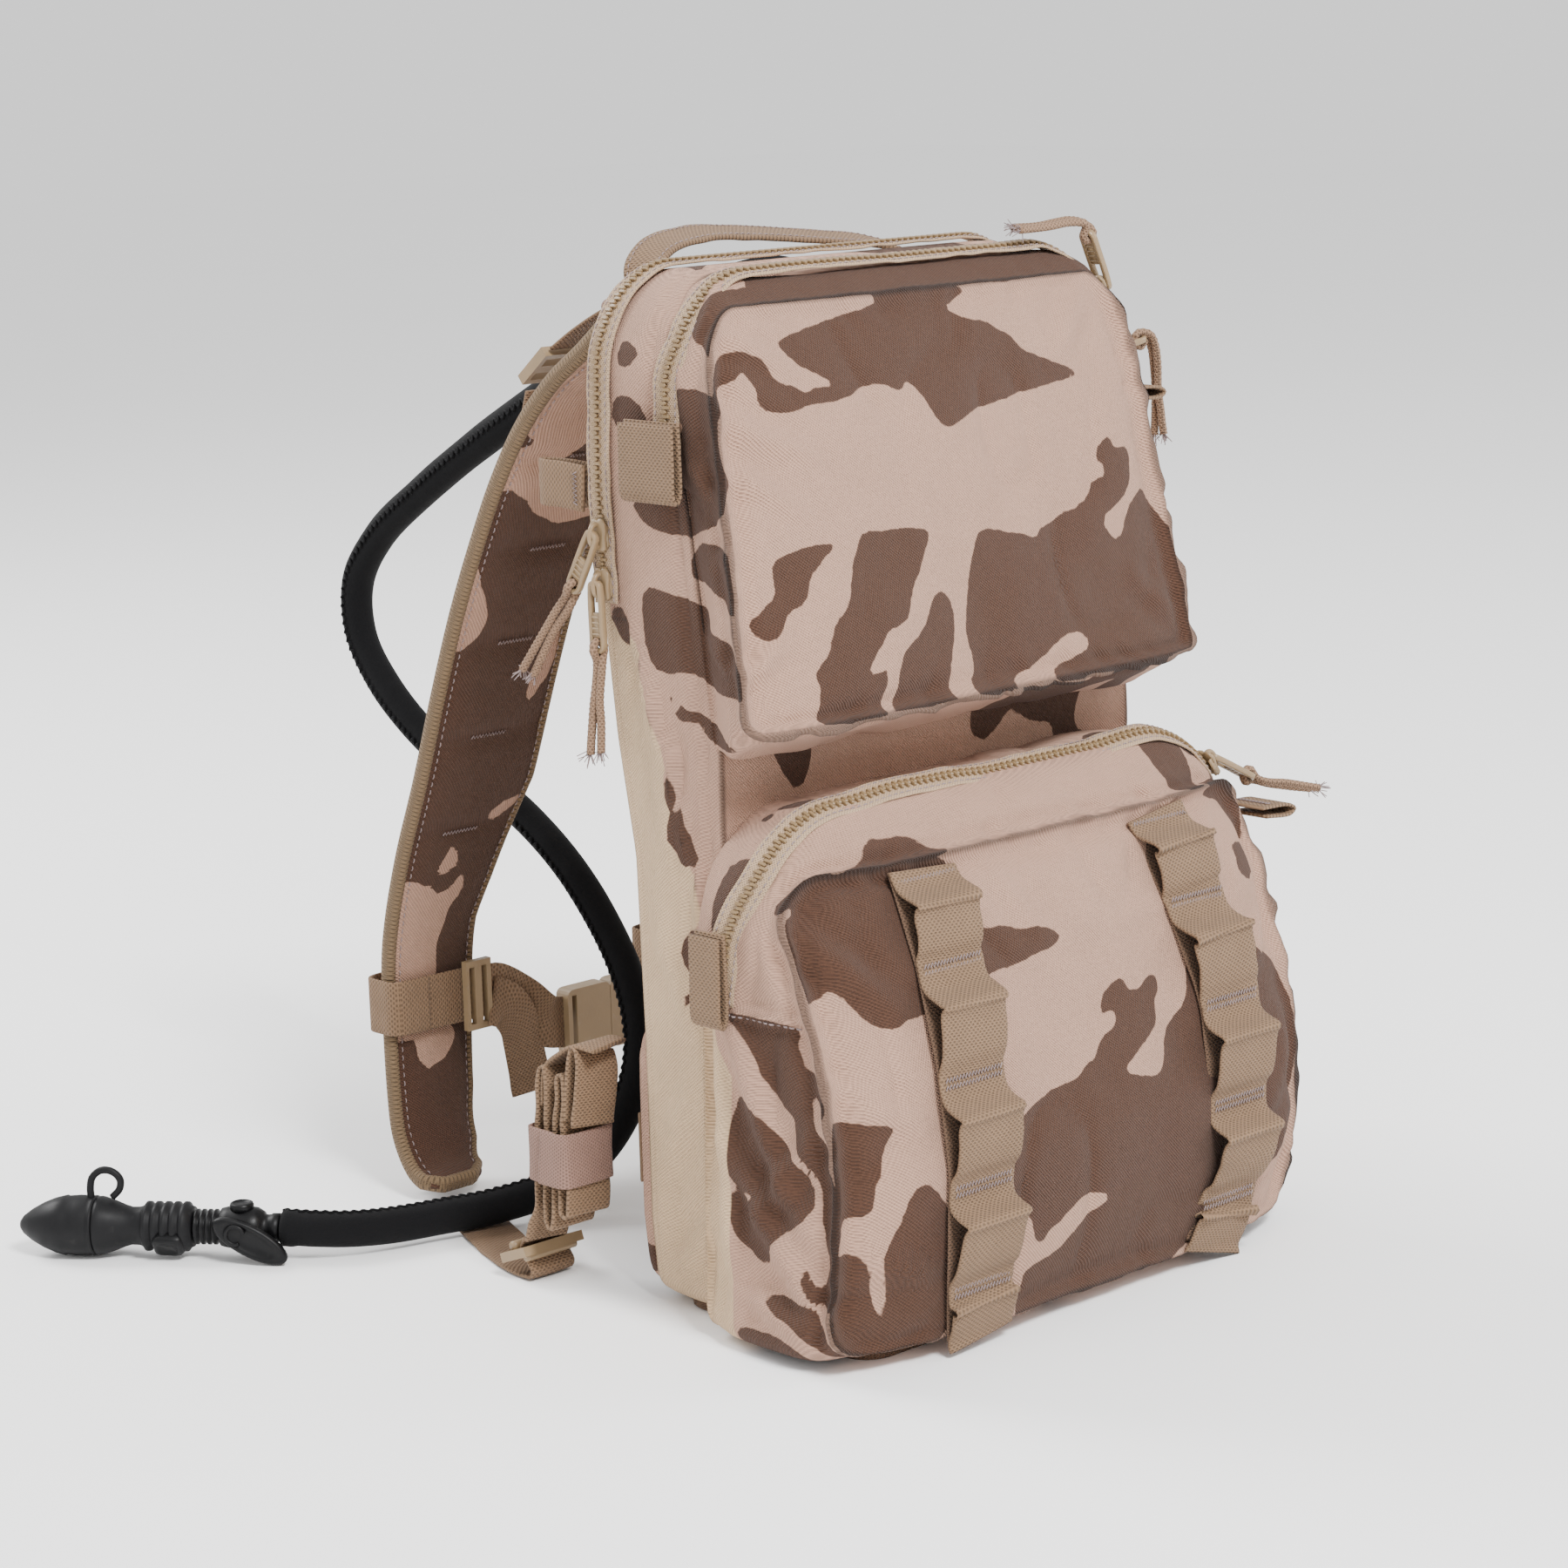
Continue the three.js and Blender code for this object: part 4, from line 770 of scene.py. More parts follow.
def outline_distance(points, outlines):
    """Distance from flat points to the nearest outline's edge, less than 0 inside one."""
    best = np.full(len(points), 1e3)
    for outline in outlines:
        a = smoothed(outline)
        b = np.roll(a, -1, axis=0)
        d = b - a
        away = points[:, None] - a
        t = np.clip(np.sum(away * d, 2) / np.sum(d * d, 1), 0, 1)
        near = np.min(np.linalg.norm(away - t[..., None] * d, axis=2), axis=1)
        above = (a[:, 1] > points[:, 1:2]) != (b[:, 1] > points[:, 1:2])
        crossing = a[:, 0] + (points[:, 1:2] - a[:, 1]) * d[:, 0] / np.where(d[:, 1] == 0, 1e-9, d[:, 1])
        inside = np.sum(above & (points[:, 0:1] < crossing), axis=1) % 2 == 1
        best = np.minimum(best, np.where(inside, -near, near))
    return best


def random_blotches(verts, seed, cover=0.12):
    """A camouflage field with no set layout."""
    bent = verts + 14 * np.stack([wander(verts, 34, seed + k) for k in range(3)], axis=1)
    return 40 * (wander(bent * (1, 1, 0.75), 46, seed + 7) + 0.45 * wander(bent, 21, seed + 9) + cover)


def all_camouflage(camo):
    """Cloth fields with no plain cloth and no seam's shadow."""
    return {"camo": camo, "tan": np.full(len(camo), NOT_PLAIN), "seam": np.full(len(camo), 9.0)}


# Soft compartments

def arch_loop(bottom, low, high, shoulder, flat, top, corner=12):
    """A compartment's outline in X and Z, from the middle of its bottom up the left side and round."""
    def run(a, b, count):
        t = np.linspace(0, 1, count, endpoint=False)[:, None]
        return np.array(a) * (1 - t) + np.array(b) * t

    def bend(a, b, c, d, count):
        t = np.linspace(0, 1, count, endpoint=False)[:, None]
        a, b, c, d = map(np.array, (a, b, c, d))
        return (1 - t)**3 * a + 3 * t * (1 - t)**2 * b + 3 * t * t * (1 - t) * c + t**3 * d
    lift, reach = (top - shoulder) * 0.55, (high - flat) * 0.45
    left = np.vstack([
        run((0, bottom), (-low + corner, bottom), 30),
        bend((-low + corner, bottom), (-low + corner * 0.4, bottom), (-low, bottom + corner * 0.4),
             (-low, bottom + corner), 6),
        run((-low, bottom + corner), (-high, shoulder), 64),
        bend((-high, shoulder), (-high, shoulder + lift), (-flat - reach, top), (-flat, top), 16),
        run((-flat, top), (0, top), 36),
    ])
    right = (left[1:] * (-1, 1))[::-1]
    return np.vstack([left, [[0, top]], right])


def eased(a, b, count):
    """Shares from a to b, closer together near both ends."""
    t = np.linspace(0, 1, count)
    return a + (b - a) * (0.5 - 0.5 * np.cos(math.pi * t))


def skin(loops, rows):
    """Surface through outlines given as (points in X and Z, depth at each point)."""
    solid = np.array([np.column_stack([xz[:, 0], y, xz[:, 1]]) for xz, y in loops])
    out = []
    for s in eased(0, 1, rows) * (len(solid) - 1):
        k = min(int(s), len(solid) - 2)
        t = s - k
        p0, p1, p2, p3 = solid[max(k - 1, 0)], solid[k], solid[k + 1], solid[min(k + 2, len(solid) - 1)]
        out.append(0.5 * (2 * p1 + (p2 - p0) * t + (2 * p0 - 5 * p1 + 4 * p2 - p3) * t**2
                          + (3 * p1 - p0 - 3 * p2 + p3) * t**3))
    return np.array(out)


def face_rings(seam, depth, rings=34):
    """Rings from a seam in towards the middle of the panel it bounds, close together at the seam."""
    centre = np.array([0.0, (seam[:, 2].max() + seam[:, 2].min()) / 2])
    out = []
    for share in [0.006, 0.013, 0.022, 0.034, 0.049, 0.066, *np.linspace(0.088, 0.985, rings)]:
        xz = centre + (seam[:, [0, 2]] - centre) * (1 - share)
        out.append(np.column_stack([xz[:, 0], depth(xz[:, 0], xz[:, 1]), xz[:, 1]]))
    return np.array(out)


def normals_of(verts, faces):
    mesh = bpy.data.meshes.new("scratch")
    mesh.from_pydata(verts.tolist(), [], [list(map(int, f)) for f in faces])
    normal = np.zeros(len(verts) * 3, np.float32)
    mesh.vertices.foreach_get("normal", normal)
    bpy.data.meshes.remove(mesh)
    return normal.reshape(-1, 3).astype(float)


def crease(points, a, b, width, depth):
    """A valley with a soft ridge on either side, from a to b."""
    a, b = np.array(a, float), np.array(b, float)
    d = b - a
    t = np.clip((points - a) @ d / (d @ d), 0, 1)
    away = np.linalg.norm(points - a - t[:, None] * d, axis=1) / width
    fade = np.sin(math.pi * np.clip(t, 0.04, 0.96))**0.5
    return depth * fade * (-np.exp(-away**2) + 0.55 * np.exp(-(away - 2.0)**2))


HEM_SCALE = (0.86, 1, 0.93)
SEAM_PINCH = 3.4
SEAM_RIDGE = 1.9
PUCKER_DEPTH = 1.9


def compartment(loops, depth, rows, seed, soft=1.6, quiet=None, creases=(), rings=34):
    """A sewn compartment: its gusset from the rear outline to the front seam, then its front panel.

    Gives its vertices and faces, which vertices are the gusset's, and how far each lies from the seam."""
    gusset = skin(loops, rows)
    middle = gusset[0].mean(axis=0)
    hem = middle + (gusset[0] - middle) * HEM_SCALE
    gusset = np.vstack([hem[None], gusset])
    seam = gusset[-1]
    count = len(seam)
    rings_and_rows = np.vstack([gusset, face_rings(seam, depth, rings)])
    total = len(rings_and_rows)
    verts = rings_and_rows.reshape(-1, 3)
    faces = closed_faces(total, count, ends=1)
    row = np.repeat(np.arange(total), count)
    is_gusset = row < len(gusset)
    to_seam = np.linalg.norm(verts - np.tile(seam, (total, 1)), axis=1)

    # The seam is pinched in, with puckers across it, and the cloth between seams is slack
    turn = np.tile(lengths(seam), total)
    pucker = wander(np.column_stack([turn, 0 * turn, row // len(gusset) * 50.0]), 8, seed)
    pinch = -SEAM_PINCH * np.exp(-(to_seam / 2.4)**2) + SEAM_RIDGE * np.exp(-((to_seam - 7.0) / 4.0)**2)
    slack = soft * (wander(verts, 62, seed + 1) + 0.5 * wander(verts, 27, seed + 2))
    fold = 1 - np.abs(wander(verts * (1, 1, 0.55), 34, seed + 3)) * 2
    slack += soft * 0.55 * np.clip(fold, 0, 1)**3
    move = slack * np.clip(to_seam / 16, 0.15, 1) + pinch
    move += pucker * PUCKER_DEPTH * np.exp(-(to_seam / 13)**2)
    for place, a, b, width, deep in creases:
        near = verts[:, [0, 2]] if place == "front" else verts[:, [1, 2]]
        wanted = ~is_gusset if place == "front" else is_gusset & (verts[:, 0] < 0)
        move += np.where(wanted, crease(near, a, b, width, deep), 0)
    if quiet:
        move *= quiet(verts)
    move *= np.clip((row - 1) / 5, 0, 1)
    return verts + normals_of(verts, faces) * move[:, None], faces, is_gusset, to_seam


# Depth at each height, as (height, depth) rows
FRONT_WALL = [[0, 28], [250, 28], [430, 56], [450, 66]]
BACK_SEAM = [[0, 73], [38, 77], [117, 77], [200, 79], [250, 88], [305, 94], [360, 97], [405, 95], [450, 93]]
UPPER_FRONT = [[246, 0], [256, -6], [263, -9.5], [410, 24.3], [436, 33], [445, 42]]
LOWER_FRONT = [[3, -59], [12, -65], [45, -71], [85, -72.5], [125, -67], [165, -53], [200, -36], [213, -28]]
UPPER_ZIP_Y = [[404, 51], [422, 44], [438, 38]]
LOWER_ZIP_Y = [[0, 7], [154, 8], [179, 3], [201, -6], [209, -8]]
LOWER_PLAIN_Y = [[0, 7], [120, 7], [150, 26], [400, 40]]
LOWER_SEAM_Z = 147.5
# Plain cloth on the main bag's sides, as an outline in depth and height
TAN_SIDE = [(110, 303), (80, 303), (74, 290), (68, 270), (60, 250), (57, 236), (50, 215), (44, 200),
            (38, 170), (30, 125), (20, 100), (20, -5), (110, -5)]


def upper_depth(x, z):
    crown = 3.5 * (1 - np.clip(np.abs(x) / 132, 0, 1)**2) * np.sin(math.pi * np.clip((z - 263) / 178, 0, 1))
    return table(UPPER_FRONT, z) - crown + 7 * np.clip(np.abs(x) / 135, 0, 1.1)**6


def lower_depth(x, z):
    side = np.clip(np.abs(x) / 146, 0, 1.1)
    return table(LOWER_FRONT, z) + 20 * side**5


def loop_depth(rows, loop):
    """Depth, from (height, depth) rows, at each point of an outline."""
    return table(rows, loop[:, 1])


def camo_fields(verts, is_gusset, to_seam, front, side, plain, seed):
    """A compartment's camouflage and plain-cloth fields, and its seam field for the painted shade along
    seams, with set blotches on its left side.
    """
    ahead = outline_distance(verts[:, [0, 2]], front) if front else random_blotches(verts, seed)
    beside = outline_distance(verts[:, [1, 2]], side)
    left = verts[:, 0] < -90
    camo = np.where(is_gusset, np.where(left, beside, random_blotches(verts, seed + 20)), ahead)
    return {"camo": camo, "tan": np.where(is_gusset, plain, NOT_PLAIN), "seam": to_seam}


def build_upper_pocket():
    back = arch_loop(246, 128, 125, 404, 86, 444.6)
    near = arch_loop(246.6, 132, 128.5, 404, 86, 445.4)
    middle = arch_loop(251, 136.5, 128.5, 402, 88, 445)
    ahead = arch_loop(257, 138.5, 128.5, 404, 98, 443)
    seam = arch_loop(263, 137.5, 126, 403, 106, 433.5, corner=6)
    loops = [(back, loop_depth(FRONT_WALL, back) + 1), (near, loop_depth(FRONT_WALL, near) - 7),
             (middle, 0.5 * loop_depth(FRONT_WALL, middle) + 0.5 * upper_depth(*middle.T)),
             (ahead, 0.12 * loop_depth(FRONT_WALL, ahead) + 0.88 * upper_depth(*ahead.T) + 1),
             (seam, upper_depth(*seam.T))]
    creases = [("front", (-131, 392), (-84, 372), 4.5, 2.2), ("front", (-128, 372), (-96, 350), 4.0, 1.6),
               ("front", (104, 428), (74, 400), 6, 1.8), ("front", (-120, 428), (-88, 408), 4, 1.4),
               ("front", (-136, 282), (-112, 300), 4, 1.8), ("front", (133, 276), (104, 300), 5, 1.8),
               ("side", (44, 372), (18, 352), 4, 1.6), ("side", (30, 300), (2, 284), 4, 1.4)]

    def quiet(v):
        """Holds the cloth still beside the zip."""
        to_zip = np.abs(v[:, 1] - table(UPPER_ZIP_Y, v[:, 2]))
        return np.where(v[:, 2] > 360, np.clip((to_zip - 4) / 12, 0.1, 1), 1)

    verts, faces, is_gusset, to_seam = compartment(loops, upper_depth, 26, 21, 2.9, quiet, creases)
    fields = camo_fields(verts, is_gusset, to_seam, UPPER_BLOTCHES, UPPER_SIDE_BLOTCHES, NOT_PLAIN, 31)

    # Brown all along the top, ahead of the zip
    x, y, z = verts.T
    on_top = is_gusset & (z > 404) & (x > -84) & (y < 47)
    edge = np.maximum(y - 46, np.maximum(-84 - x, 404 - z))
    fields["camo"] = np.where(on_top, np.minimum(fields["camo"], edge), fields["camo"])
    make("upper_pocket_bag", verts, faces, "camo", node="upper_pocket", fields=fields)


def build_lower_pocket():
    back = arch_loop(3.4, 144, 140, 176, 94, 226.4)
    rear = arch_loop(3.4, 148, 145.6, 178, 96, 228.6)
    at_zip = arch_loop(3.4, 150, 146.6, 179, 97, 228.8)
    ahead = arch_loop(3.6, 150.5, 147, 177, 99, 225)
    round_front = arch_loop(4.4, 149.5, 146.5, 180, 108, 215)
    seam = arch_loop(9, 145, 143, 184, 123, 204.5, corner=18)
    y_seam = lower_depth(*seam.T)
    loops = [(back, np.full(len(back), 27.8)), (rear, loop_depth(LOWER_ZIP_Y, rear) * 0.5 + 14),
             (at_zip, loop_depth(LOWER_ZIP_Y, at_zip)),
             (ahead, loop_depth(LOWER_ZIP_Y, ahead) * 0.62 + y_seam * 0.38),
             (round_front, loop_depth(LOWER_ZIP_Y, round_front) * 0.28 + y_seam * 0.72),
             (seam, y_seam)]
    creases = [("front", (-141, 186), (-108, 152), 5, 2.6), ("front", (-140, 120), (-104, 104), 5, 2.0),
               ("front", (-138, 60), (-100, 34), 5, 2.2), ("front", (136, 150), (104, 120), 5, 2.0),
               ("front", (134, 100), (106, 60), 6, 2.2), ("front", (-40, 202), (-20, 168), 5, 1.4),
               ("front", (110, 196), (92, 160), 5, 1.6), ("front", (128, 60), (104, 24), 5, 2.4),
               ("side", (8, 150), (-34, 62), 6, 3.6), ("side", (10, 92), (-44, 26), 6, 3.4),
               ("side", (-4, 56), (-50, 112), 5, 2.4), ("side", (2, 30), (-44, 16), 5, 2.6),
               ("side", (12, 149), (-40, 150), 2.5, 2.0), ("side", (16, 130), (6, 20), 5, 2.6)]

    def quiet(v):
        """Holds the cloth still beside the zip, under the webbing strips and at the base."""
        to_zip = np.abs(v[:, 1] - table(LOWER_ZIP_Y, v[:, 2]))
        beside_zip = np.where((v[:, 2] > 148) & (v[:, 1] > -20), np.clip((to_zip - 5) / 10, 0.1, 1), 1)
        under_strip = np.clip(np.abs(np.abs(v[:, 0]) - 80) / 26, 0.25, 1)
        floor = np.clip((v[:, 2] - 3) / 14, 0, 1)
        return beside_zip * np.where(v[:, 1] < -35, under_strip, 1) * floor

    verts, faces, is_gusset, to_seam = compartment(loops, lower_depth, 44, 57, 3.4, quiet, creases)
    plain = verts[:, 1] - table(LOWER_PLAIN_Y, verts[:, 2])
    fields = camo_fields(verts, is_gusset, to_seam, LOWER_BLOTCHES, LOWER_SIDE_BLOTCHES, plain, 43)
    top = is_gusset & (verts[:, 2] > 190) & (np.abs(verts[:, 0]) < 118)
    fields["camo"] = np.where(top, outline_distance(verts[:, :2], LOWER_TOP_BLOTCHES), fields["camo"])
    make("lower_pocket_bag", verts, faces, "camo", node="lower_pocket", fields=fields)
    sew_lower_side(verts[is_gusset & (verts[:, 0] < -100)])


def sew_lower_side(cloth):
    """Stitches across the left side of the lower pocket, just under its zip."""
    row = []
    for y in np.arange(-36, 9, 4):
        nearest = np.argmin(np.linalg.norm(cloth[:, 1:] - (y, LOWER_SEAM_Z), axis=1))
        row.append((cloth[nearest, 0], y, LOWER_SEAM_Z))
    line = spline(row, 1.5)
    stitches("lower_pocket_side_stitches", line, np.tile(-RIGHT, (len(line), 1)), radius=0.4, lift=0.5)


def build_main_bag():
    wall = arch_loop(3.4, 126, 125.5, 402, 86, 445)
    ahead = arch_loop(3.4, 127.4, 127, 405, 89, 446.8)
    middle = arch_loop(3.4, 128.4, 127.6, 406, 90, 447.4)
    back = arch_loop(3.4, 127, 126.4, 405, 89, 446)
    loops = [(back, loop_depth(BACK_SEAM, back)),
             (middle, 0.6 * loop_depth(BACK_SEAM, middle) + 0.4 * loop_depth(FRONT_WALL, middle)),
             (ahead, 0.12 * loop_depth(BACK_SEAM, ahead) + 0.88 * loop_depth(FRONT_WALL, ahead)),
             (wall, loop_depth(FRONT_WALL, wall) - 0.2)]
    creases = [("side", (70, 292), (58, 210), 5, 1.8), ("side", (72, 180), (48, 130), 5, 1.6),
               ("side", (76, 60), (52, 100), 6, 1.6), ("side", (66, 20), (40, 44), 5, 1.6),
               ("side", (84, 312), (58, 246), 3, 2.2), ("side", (61, 254), (46, 206), 3, 2.2),
               ("side", (50, 216), (26, 112), 3, 2.2)]

    def quiet(v):
        """Holds the cloth still beside the zip, behind the pockets and at the base."""
        to_zip = np.abs(v[:, 1] - table(BACK_SEAM, v[:, 2]) + 1)
        beside_zip = np.clip((to_zip - np.where(v[:, 2] > 298, 5, 0)) / 12, 0.08, 1)
        covered = np.where(v[:, 1] < table(FRONT_WALL, v[:, 2]) + 6, 0.15, 1)
        return beside_zip * covered * np.clip((v[:, 2] - 3) / 14, 0, 1)

    def depth(x, z):
        return table(FRONT_WALL, z) - 0.2

    verts, faces, is_gusset, to_seam = compartment(loops, depth, 26, 77, 2.8, quiet, creases, rings=20)
    to_tan = outline_distance(verts[:, [1, 2]], [TAN_SIDE])
    on_side = is_gusset & (np.abs(verts[:, 0]) > 60)
    plain = np.where(on_side, -to_tan, NOT_PLAIN)
    fields = camo_fields(verts, is_gusset, to_seam, None, MAIN_SIDE_BLOTCHES, plain, 61)
    fields["camo"] = np.where(is_gusset, fields["camo"], fields["camo"] + 14)
    left = is_gusset & (verts[:, 0] < -90)
    fields["tan"] = np.where(left, np.minimum(fields["tan"], fields["camo"]), fields["tan"])
    # Painted shade also along the seam between the plain cloth and the camouflage on the sides.
    fields["seam"] = np.where(on_side, np.minimum(to_seam, np.abs(to_tan) + 0.6), to_seam)
    make("main_bag", verts, faces, "camo", node="main_shell", fields=fields)


def build_back_panel():
    """Padded panel against the wearer's back, sewn into three upright channels."""
    outline = arch_loop(3.6, 126.4, 126, 405, 89, 446)
    inner = arch_loop(3.6, 125.8, 125.6, 404.6, 88.6, 445.4)
    edges = [np.column_stack([loop[:, 0], loop_depth(BACK_SEAM, loop) + behind, loop[:, 1]])
             for loop, behind in ((outline, 0.4), (outline, 3.4), (inner, 5.2))]

    def depth(x, z):
        channel = np.abs(np.cos(math.pi * x / 84))**0.6
        edge = np.clip((126 - np.abs(x)) / 18, 0, 1)
        return table(BACK_SEAM, z) + 3.6 + 2.6 * channel * edge**0.5

    rows = np.vstack([edges, face_rings(edges[-1], depth, 36)])
    faces = [f[::-1] for f in closed_faces(*rows.shape[:2], ends=1)]
    panel = make("padded_back_panel", rows.reshape(-1, 3), faces, "tan", node="back_panel")


# Zips

# Half widths low and high, shoulder, half width and height of the top; then where the zip ends, its depth
# at each height, how far it leans outwards and how far it sags
ZIPS = {
    "main": ((127, 127, 406, 90, 447), 303, [[z, y - 1] for z, y in BACK_SEAM], 0.0, 0.0),
    "upper": ((138, 127, 404, 86, 445), 366, [[404, 51], [422, 46], [438, 47], [446, 49]], 0.15, 0.6),
    "lower": ((150, 147, 179, 97, 229), 150, LOWER_ZIP_Y, 0.42, 2.6),
}


def build_zip(name):
    (low, high, shoulder, flat, top), end, depth_rows, tilt, sag = ZIPS[name]
    loop = arch_loop(3.3, low + 1.7, high + 1.7, shoulder, flat, top + 1.7)
    xz = loop[loop[:, 1] > end]
    path = even(np.column_stack([xz[:, 0], table(depth_rows, xz[:, 1]), xz[:, 1]]), 2.0)
    along = lengths(path)
    sway = np.clip(np.minimum(along, along[-1] - along) / 60 - 0.8, 0, 1)
    path = path - UP * (sag * sway * (1 + wander(path * (1, 0, 0), 30, 17)) / 2)[:, None]
    along = lengths(path)
    t = tangents(path)
    out = unit(np.cross(t, REAR))
    leaning = REAR + out * tilt
    webbing(f"{name}_zip_cloth", path, leaning, ZIP_WIDTH, 1.2, material="tape", node=f"{name}_zip_tape",
            smooth=False, ripple=0.5)
    tooth = [(-1.8, -0.6), (1.3, -0.85), (2.0, 0), (1.3, 0.85), (-1.8, 0.6)]
    rows = [(0.8, 0.5), (1.0, 0.9), (1.0, 1.7), (0.75, 2.1)]
    parts = []
    for k, at in enumerate(np.arange(2, along[-1] - 2, TOOTH_PITCH)):
        forward = unit(sampled(t, along, at))
        across = unit(REAR + sampled(out, along, at) * tilt)
        outward = unit(np.cross(forward, across))
        side = 1 if k % 2 else -1
        root = sampled(path, along, at) - across * side * 0.75
        parts.append(plate(tooth, root, across * side, forward * side, outward, rows))
    make(f"{name}_zip_teeth", *merged(parts), "coil", smooth=False)
    for side, word in ((-1, "front"), (1, "rear")):
        stitches(f"{name}_zip_stitches_{word}", path + unit(leaning) * side * 5.3, out, lift=0.9)


# Body, zip, slider, seat, outward and nose directions; then the pull's hang, face and the steps of its cord
SLIDERS = [
    ("main_upper", "main_zip", "upper", (-129.8, 94.75, 337), (-1, 0, 0), (0, 0.06, 1), (0, 0.5, -0.866),
     (-1, 0, 0), [(-3, 13, -17), (-2, 15, -21)]),
    ("main_lower", "main_zip", "lower", (-129.8, 93.6, 316), (-1, 0, 0), (0, 0.06, 1), (0, -0.03, -1),
     (-1, 0, 0), [(-3, 0, -22), (-2, 0, -22)]),
    ("pocket_top", "upper_zip", "top", (125.37, 42, 423.2), (0.8988, 0, 0.4384), (-0.4384, 0, 0.8988),
     (-0.42, 0, 0.9), (0.9, 0, 0.42), [(-10, 1, 2), (-18, 0, -1), (-17, 0, 0)]),
    ("pocket_side", "upper_zip", "side", (130.57, 51, 393), (0.9976, 0, 0.0695), (-0.0695, 0, 0.9976),
     (1, -0.1, 0.2), (-0.2, 0, 1), [(4, -1, -8), (2, 0, -20), (1, 0, -20)]),
    ("lower_top", "lower_zip", "top", (140.77, -8, 208.53), (0.829, 0, 0.5592), (-0.5592, 0, 0.829),
     (0.88, -0.05, -0.46), (0.46, 0, 0.88), [(18, -6, -5), (16, -5, -4)]),
    ("lower_side", "lower_zip", "side", (150.1, 6, 170), (1, 0, 0), (0, -0.1, 1), (0.06, 0, -1), (1, 0, 0.06),
     [(3, 0, -20), (2, 0, -22)]),
]


def build_slider(body, zip_name, which, seat, out, nose):
    seat, out, nose = np.array(seat, float), unit(out), unit(nose)
    side = np.cross(out, nose)
    half = [(-5.2, 4.3), (-1, 4.1), (2.5, 5.0), (5.0, 4.8), (7.2, 3.2), (7.4, 1.1)]
    shape = [(-6.5, -3.2), (-6.5, 3.2), *half, (6.4, 0), *[(a, -b) for a, b in half[::-1]]]
    top = plate(shape, seat, nose, side, out, [(0.93, 0.2), (1, 0.6), (1, 1.5), (0.94, 2.1), (0.72, 2.4)])
    arch = [(4.6, 1.4), (4.9, 3.0), (4.0, 4.7), (1.0, 5.9), (-2.2, 5.7), (-4.2, 4.2), (-4.6, 1.4)]
    bridge = round_tube([seat + nose * a + out * h for a, h in arch], 1.25, step=1.0, start=side)
    rails = [block(seat + side * s * 4.1 - out * 0.6, nose * 9, side * 0.9, out * 2.2, 1) for s in (-1, 1)]
    make(f"{zip_name}_slider_{which}_shell", *merged([top, bridge, *rails]), "slider", f"{body}_slider",
         node=f"{zip_name}_slider_{which}")


def build_pull(body, zip_name, which, seat, out, hang, face, steps, seed):
    """Moulded tab on the slider's bridge, with a doubled cord through its far end."""
    name, rider = f"{zip_name}_pull_{which}", f"{body}_pull"
    pivot = np.array(seat, float) + unit(out) * 5
    hang, face = unit(hang), np.array(face, float)
    face = unit(face - hang * (face @ hang))
    side = np.cross(hang, face)

    def spot(reach, aside=0.0, up=0.0):
        return pivot + hang * reach + side * aside + face * up

    rim = [(-1.6, 0), (-0.9, 2.4), (2, 3.0), (7, 3.3), (20, 3.4), (25.4, 3.2), (27.2, 1.8), (27.4, 0)]
    rim = rim + [(a, -b) for a, b in rim[-2:0:-1]] + rim[:2]
    line = spline([spot(a, b) for a, b in rim], 1.0)
    upright = np.tile(face, (len(line), 1))
    ring = swept(line, np.cross(upright, tangents(line)), upright, oval(1.15, 1.5, 12, 0.6))
    rows = [(0.96, -0.9), (1, -0.6), (1, 0.6), (0.96, 0.9)]
    web = plate(rounded(5.4, 2.6, 1), spot(16.5), hang, side, face, rows)
    ridges = [round_tube([spot(s, a, f) for a in (-2.4, 0, 2.4)], 0.5, 6, step=1.0)
              for s in (13, 15.4, 17.8, 20.2) for f in (-0.9, 0.9)]
    make(f"{name}_tab", *merged([ring, web, *ridges]), "slider", rider, node=name)

    # The cord's two strands drop side by side from the loop through the tab
    first = np.array(steps[0], float) * 0.8
    centre = spot(31.5) + np.cumsum([np.zeros(3), first, *steps[1:]], axis=0)
    offset = np.linspace(1.4, 1.7, len(centre))
    offset[-1] = 2.6
    apart = side * offset[:, None] + face * 0.6
    loop = [spot(26.8, 0, -3.2), spot(24.3, 0, -2.4), spot(23.6), spot(24.3, 0, 2.4), spot(26.8, 0, 3.2)]
    path = spline(np.vstack([(centre - apart)[::-1], loop, centre + apart]), 1.2)
    along = lengths(path)
    path = path + 0.6 * np.stack([wander_along(along, 12, seed + k, 40 * k) for k in range(3)], 1)
    verts, faces = round_tube(path, CORD_RADIUS + 0.16 * np.sin(along * 2.6), smooth=False, start=side)
    uv = np.stack(np.broadcast_arrays(CORD_RADIUS * angles(10), along[:, None]), axis=-1).reshape(-1, 2)
    make(f"{name}_cord", verts, faces, "cord", rider, uv=uv)
    t = tangents(path)
    ends = [frayed(path[0], -t[0], seed), frayed(path[-1], t[-1], seed + 1)]
    make(f"{name}_ends", *merged(ends), "thread", rider, "pull_cord")


# Webbing tabs and loops

